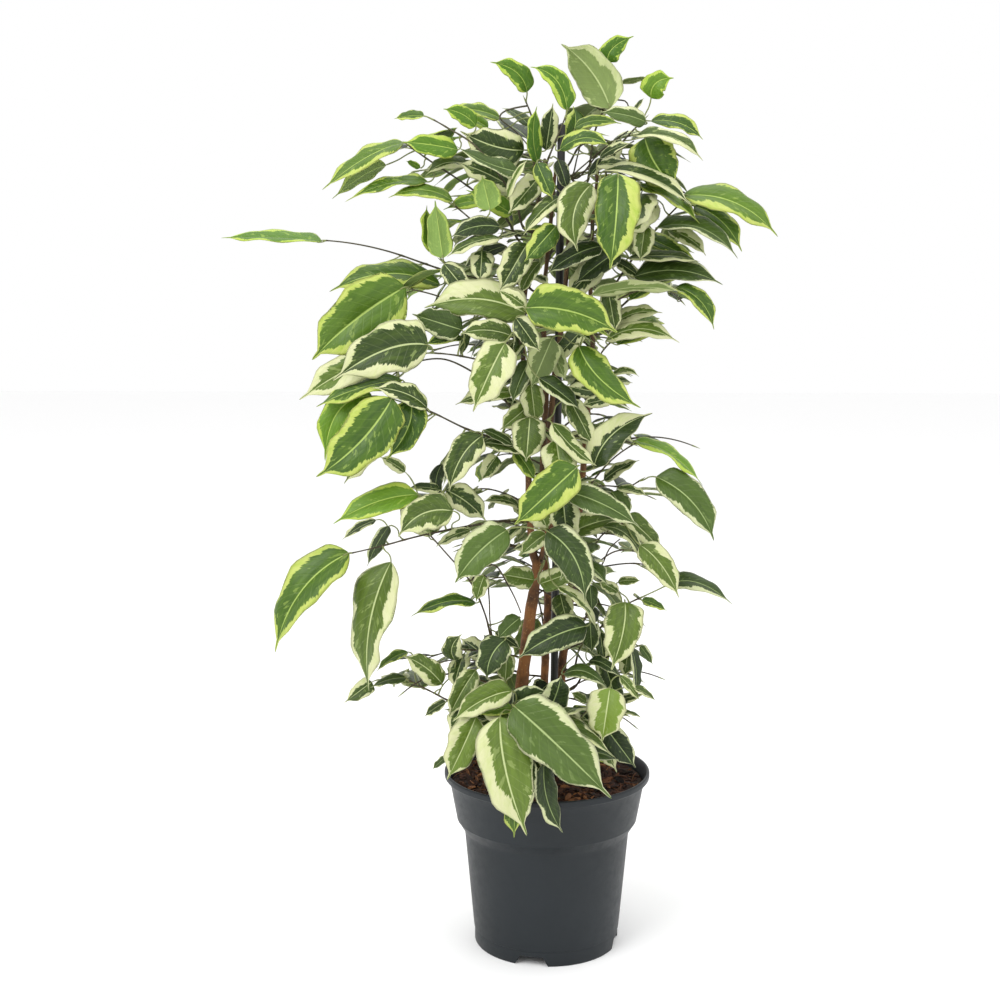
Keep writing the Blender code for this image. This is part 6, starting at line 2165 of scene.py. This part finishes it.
@dataclass
class PottingSoil:
    """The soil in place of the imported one, its top lumpy and strewn with bark and fibre. Millimetres."""

    pot: GrowerPot
    top: float = 138.0
    lump: float = 2.6
    rings: int = 46
    segments: int = 120
    chips: int = 1500
    chip_sizes: tuple[float, float] = (3.0, 15.0)
    fibres: int = 130
    fibre_lengths: tuple[float, float] = (10.0, 34.0)
    wall_gap: float = 0.3
    body_tone: float = 0.12
    chip_seed: int = 21
    fibre_seed: int = 22
    fibre_steps: int = 8
    fibre_sides: int = 5

    def radius_at_top(self) -> float:
        """Gives the pot's inner radius at the soil's top."""
        pot = self.pot
        low, high = pot.band_foot - pot.wall, pot.band_top - pot.wall
        share = (self.top - pot.band_foot_height) / (pot.height - pot.lip_depth - pot.band_foot_height)
        return low + (high - low) * share - self.wall_gap

    def height_at(self, x: float, y: float) -> float:
        """Gives the top's height at a place from the axis, all in millimetres."""
        broad = noise.noise(Vector((x * 0.035, y * 0.035, 3.1)))
        small = noise.noise(Vector((x * 0.16, y * 0.16, 8.7)))
        fine = noise.noise(Vector((x * 0.5, y * 0.5, 1.3)))
        return self.top + self.lump * (0.9 * broad + 0.55 * small + 0.25 * fine)

    def build_body(self, material: bpy.types.Material) -> bpy.types.Object:
        """Makes the soil's body, closed, filling the pot.

        Args:
            material: Its finish.

        Returns:
            The piece.
        """
        pot = self.pot
        gap = self.wall_gap
        outer = self.radius_at_top()
        side = [
            (outer, self.top - 1.4),
            (pot.band_foot - pot.wall - gap, pot.band_foot_height + 0.8),
            (pot.body_top - pot.wall - gap, pot.step_foot_height - 0.4),
            (pot.body_foot - pot.wall - gap, pot.floor_top + 2.2),
            (pot.body_foot - pot.wall - 1.6 - gap, pot.floor_top + gap),
        ]
        points = [Vector((0.0, 0.0, self.height_at(0.0, 0.0)))]
        rows = [outer * (ring + 1) / (self.rings + 1) for ring in range(self.rings)]
        for radius, height in [(radius, None) for radius in rows] + side:
            for step in range(self.segments):
                angle = 2.0 * math.pi * step / self.segments
                x, y = radius * math.cos(angle), radius * math.sin(angle)
                points.append(Vector((x, y, self.height_at(x, y) if height is None else height)))
        points.append(Vector((0.0, 0.0, pot.floor_top + gap)))
        count = self.rings + len(side)
        faces = []
        for step in range(self.segments):
            following = (step + 1) % self.segments
            faces.append((0, 1 + step, 1 + following))
            for row in range(count - 1):
                a, b = 1 + row * self.segments, 1 + (row + 1) * self.segments
                faces.append((a + step, b + step, b + following, a + following))
            last = 1 + (count - 1) * self.segments
            faces.append((last + following, last + step, len(points) - 1))
        mesh = Mesh()
        placed = [self.pot.axis + point * MM for point in points]
        mesh.add(placed, faces, [0] * len(faces), None, bark_tone=self.body_tone)
        return mesh.build("soil_body", [material])

    def build_chips(self, material: bpy.types.Material) -> bpy.types.Object:
        """Strews shreds of bark over the top.

        Args:
            material: Their finish.

        Returns:
            The piece.
        """
        draw = random.Random(self.chip_seed)
        outer = self.radius_at_top()
        mesh = Mesh()
        for _ in range(self.chips):
            length = draw.uniform(*self.chip_sizes) * draw.uniform(0.5, 1.0)
            width = length * draw.uniform(0.12, 0.4)
            thick = width * draw.uniform(0.25, 0.7)
            reach = (outer - 1.0 - length * 0.5) * math.sqrt(draw.random())
            angle = draw.uniform(0.0, 2.0 * math.pi)
            x, y = reach * math.cos(angle), reach * math.sin(angle)
            turn = Matrix.Rotation(draw.uniform(0.0, 2.0 * math.pi), 3, "Z")
            turn = turn @ Matrix.Rotation(draw.gauss(0.0, 0.3), 3, "Y")
            turn = turn @ Matrix.Rotation(draw.gauss(0.0, 0.5), 3, "X")
            middle = Vector((x, y, self.height_at(x, y) + thick * draw.uniform(0.0, 0.9)))
            stations = (-0.5, -0.2, 0.18, 0.5)
            points, faces = [], []
            bend = draw.uniform(-0.12, 0.12) * length
            for number, share in enumerate(stations):
                taper = 0.35 if number in (0, 3) else 1.0
                for corner in ((-0.5, -0.5), (0.5, -0.5), (0.5, 0.5), (-0.5, 0.5)):
                    aside = corner[0] * width * taper * draw.uniform(0.7, 1.2)
                    lift = corner[1] * thick * taper * draw.uniform(0.7, 1.2)
                    local = Vector((share * length, aside + bend * (1.0 - 4.0 * share * share), lift))
                    points.append(self.pot.axis + (middle + turn @ local) * MM)
            for row in range(3):
                for step in range(4):
                    a, b = row * 4 + step, row * 4 + (step + 1) % 4
                    faces.append((a, b, b + 4, a + 4))
            faces += [(3, 2, 1, 0), (12, 13, 14, 15)]
            tone = draw.triangular(-0.1, 0.9, 0.2)
            mesh.add(points, [face[::-1] for face in faces], [0] * len(faces), None, bark_tone=tone)
        made = mesh.build("soil_bark_shreds", [material])
        made.data.polygons.foreach_set("use_smooth", [False] * len(made.data.polygons))
        return made

    def build_fibres(self, material: bpy.types.Material) -> bpy.types.Object:
        """Strews thin curved fibres over the top.

        Args:
            material: Their finish.

        Returns:
            The piece.
        """
        draw = random.Random(self.fibre_seed)
        outer = self.radius_at_top()
        mesh = Mesh()
        for _ in range(self.fibres):
            length = draw.uniform(*self.fibre_lengths)
            angle = draw.uniform(0.0, 2.0 * math.pi)
            reach = (outer - 3.0) * math.sqrt(draw.random())
            place = Vector((reach * math.cos(angle), reach * math.sin(angle), 0.0))
            heading = draw.uniform(0.0, 2.0 * math.pi)
            turn = draw.gauss(0.0, 0.05)
            centres = []
            steps = self.fibre_steps
            for step in range(steps + 1):
                if place.to_2d().length > outer - 1.0:
                    break
                lift = 0.9 + 1.5 * math.sin(math.pi * step / steps) * draw.uniform(0.3, 1.0)
                height = self.height_at(place.x, place.y) + lift
                centres.append(self.pot.axis + Vector((place.x, place.y, height)) * MM)
                place += Vector((math.cos(heading), math.sin(heading), 0.0)) * length / steps
                heading += turn * length / steps + draw.gauss(0.0, 0.12)
            if len(centres) < 4:
                continue
            girth = draw.uniform(0.18, 0.42) * MM
            turns = [math.pi * (step + 0.5) / len(centres) for step in range(len(centres))]
            radii = [girth * (0.45 + 0.55 * math.sin(turn)) for turn in turns]
            mesh.add_tube(centres, radii, self.fibre_sides, bark_tone=draw.uniform(0.3, 0.85))
        return mesh.build("soil_fibres", [material])

    def build(self) -> None:
        """Builds the soil."""
        material = SoilFinish().build()
        for made in (self.build_body(material), self.build_chips(material), self.build_fibres(material)):
            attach(made, BODY)
            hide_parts("potting_soil")
            LOG.info("%s: %d faces", made.name, len(made.data.polygons))


# Studio


@dataclass
class Studio:
    """A plain pale floor with a soft key light from the left, a fill from the right and light from above."""

    axis: Vector
    floor_size: float = 12.0
    floor_colour: str = "#fbfbfb"

    def add_light(self, name: str, place: Vector, size: float, power: float) -> None:
        """Adds a square area light that faces the plant.

        Args:
            name: Its name.
            place: Where it stands, from the pot's foot.
            size: Its side.
            power: Its power in watts.
        """
        data = bpy.data.lights.new(name, "AREA")
        data.shape = "SQUARE"
        data.size = size
        data.energy = power
        light = bpy.data.objects.new(name, data)
        light.location = self.axis + place
        aim = (self.axis + Vector((0.0, 0.0, 0.4)) - light.location).normalized()
        light.rotation_euler = aim.to_track_quat("-Z", "Y").to_euler()
        bpy.context.scene.collection.objects.link(light)

    def build(self) -> None:
        """Builds the floor, the world and the lights."""
        half = self.floor_size / 2.0
        mesh = Mesh()
        ends = ((-half, -half), (half, -half), (half, half), (-half, half))
        mesh.add([Vector((x, y, 0.0)) + self.axis for x, y in ends], [(0, 1, 2, 3)], [0])
        nodes = NodeKit("pale_paper_floor")
        dull = nodes.span(nodes.noise(None, 60.0, 2.0), 0.3, 0.7, 0.80, 0.86)
        paper = nodes.close({"Base Color": linear(self.floor_colour), "Roughness": dull})
        floor = mesh.build("studio_floor", [paper])
        world = bpy.data.worlds.new("studio_white")
        world.use_nodes = True
        background = world.node_tree.nodes["Background"]
        background.inputs["Color"].default_value = linear("#ffffff")
        background.inputs["Strength"].default_value = 1.0
        bpy.context.scene.world = world
        bpy.context.scene.view_settings.view_transform = "Standard"
        self.add_light("key_left", Vector((-1.3, -1.5, 1.9)), 1.3, 32.0)
        self.add_light("fill_right", Vector((1.5, -1.2, 1.1)), 1.4, 9.0)
        self.add_light("top_soft", Vector((0.1, 0.2, 2.2)), 1.6, 14.0)


def main() -> None:
    """Builds the whole dressed plant and its studio."""
    logging.basicConfig(level=logging.INFO, format="%(name)s %(message)s")
    low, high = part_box("pot")
    axis = Vector(((low.x + high.x) / 2.0, (low.y + high.y) / 2.0, 0.0))
    view = PhotoView(axis)
    view.build_camera()
    stems = WoodyStems()
    woods = [*stems.build(), SupportCane().build()]
    Foliage(view, woods, stems.lines).build()
    pot = GrowerPot(axis)
    pot.build()
    PottingSoil(pot).build()
    Studio(axis).build()


if __name__ == "__main__":
    main()
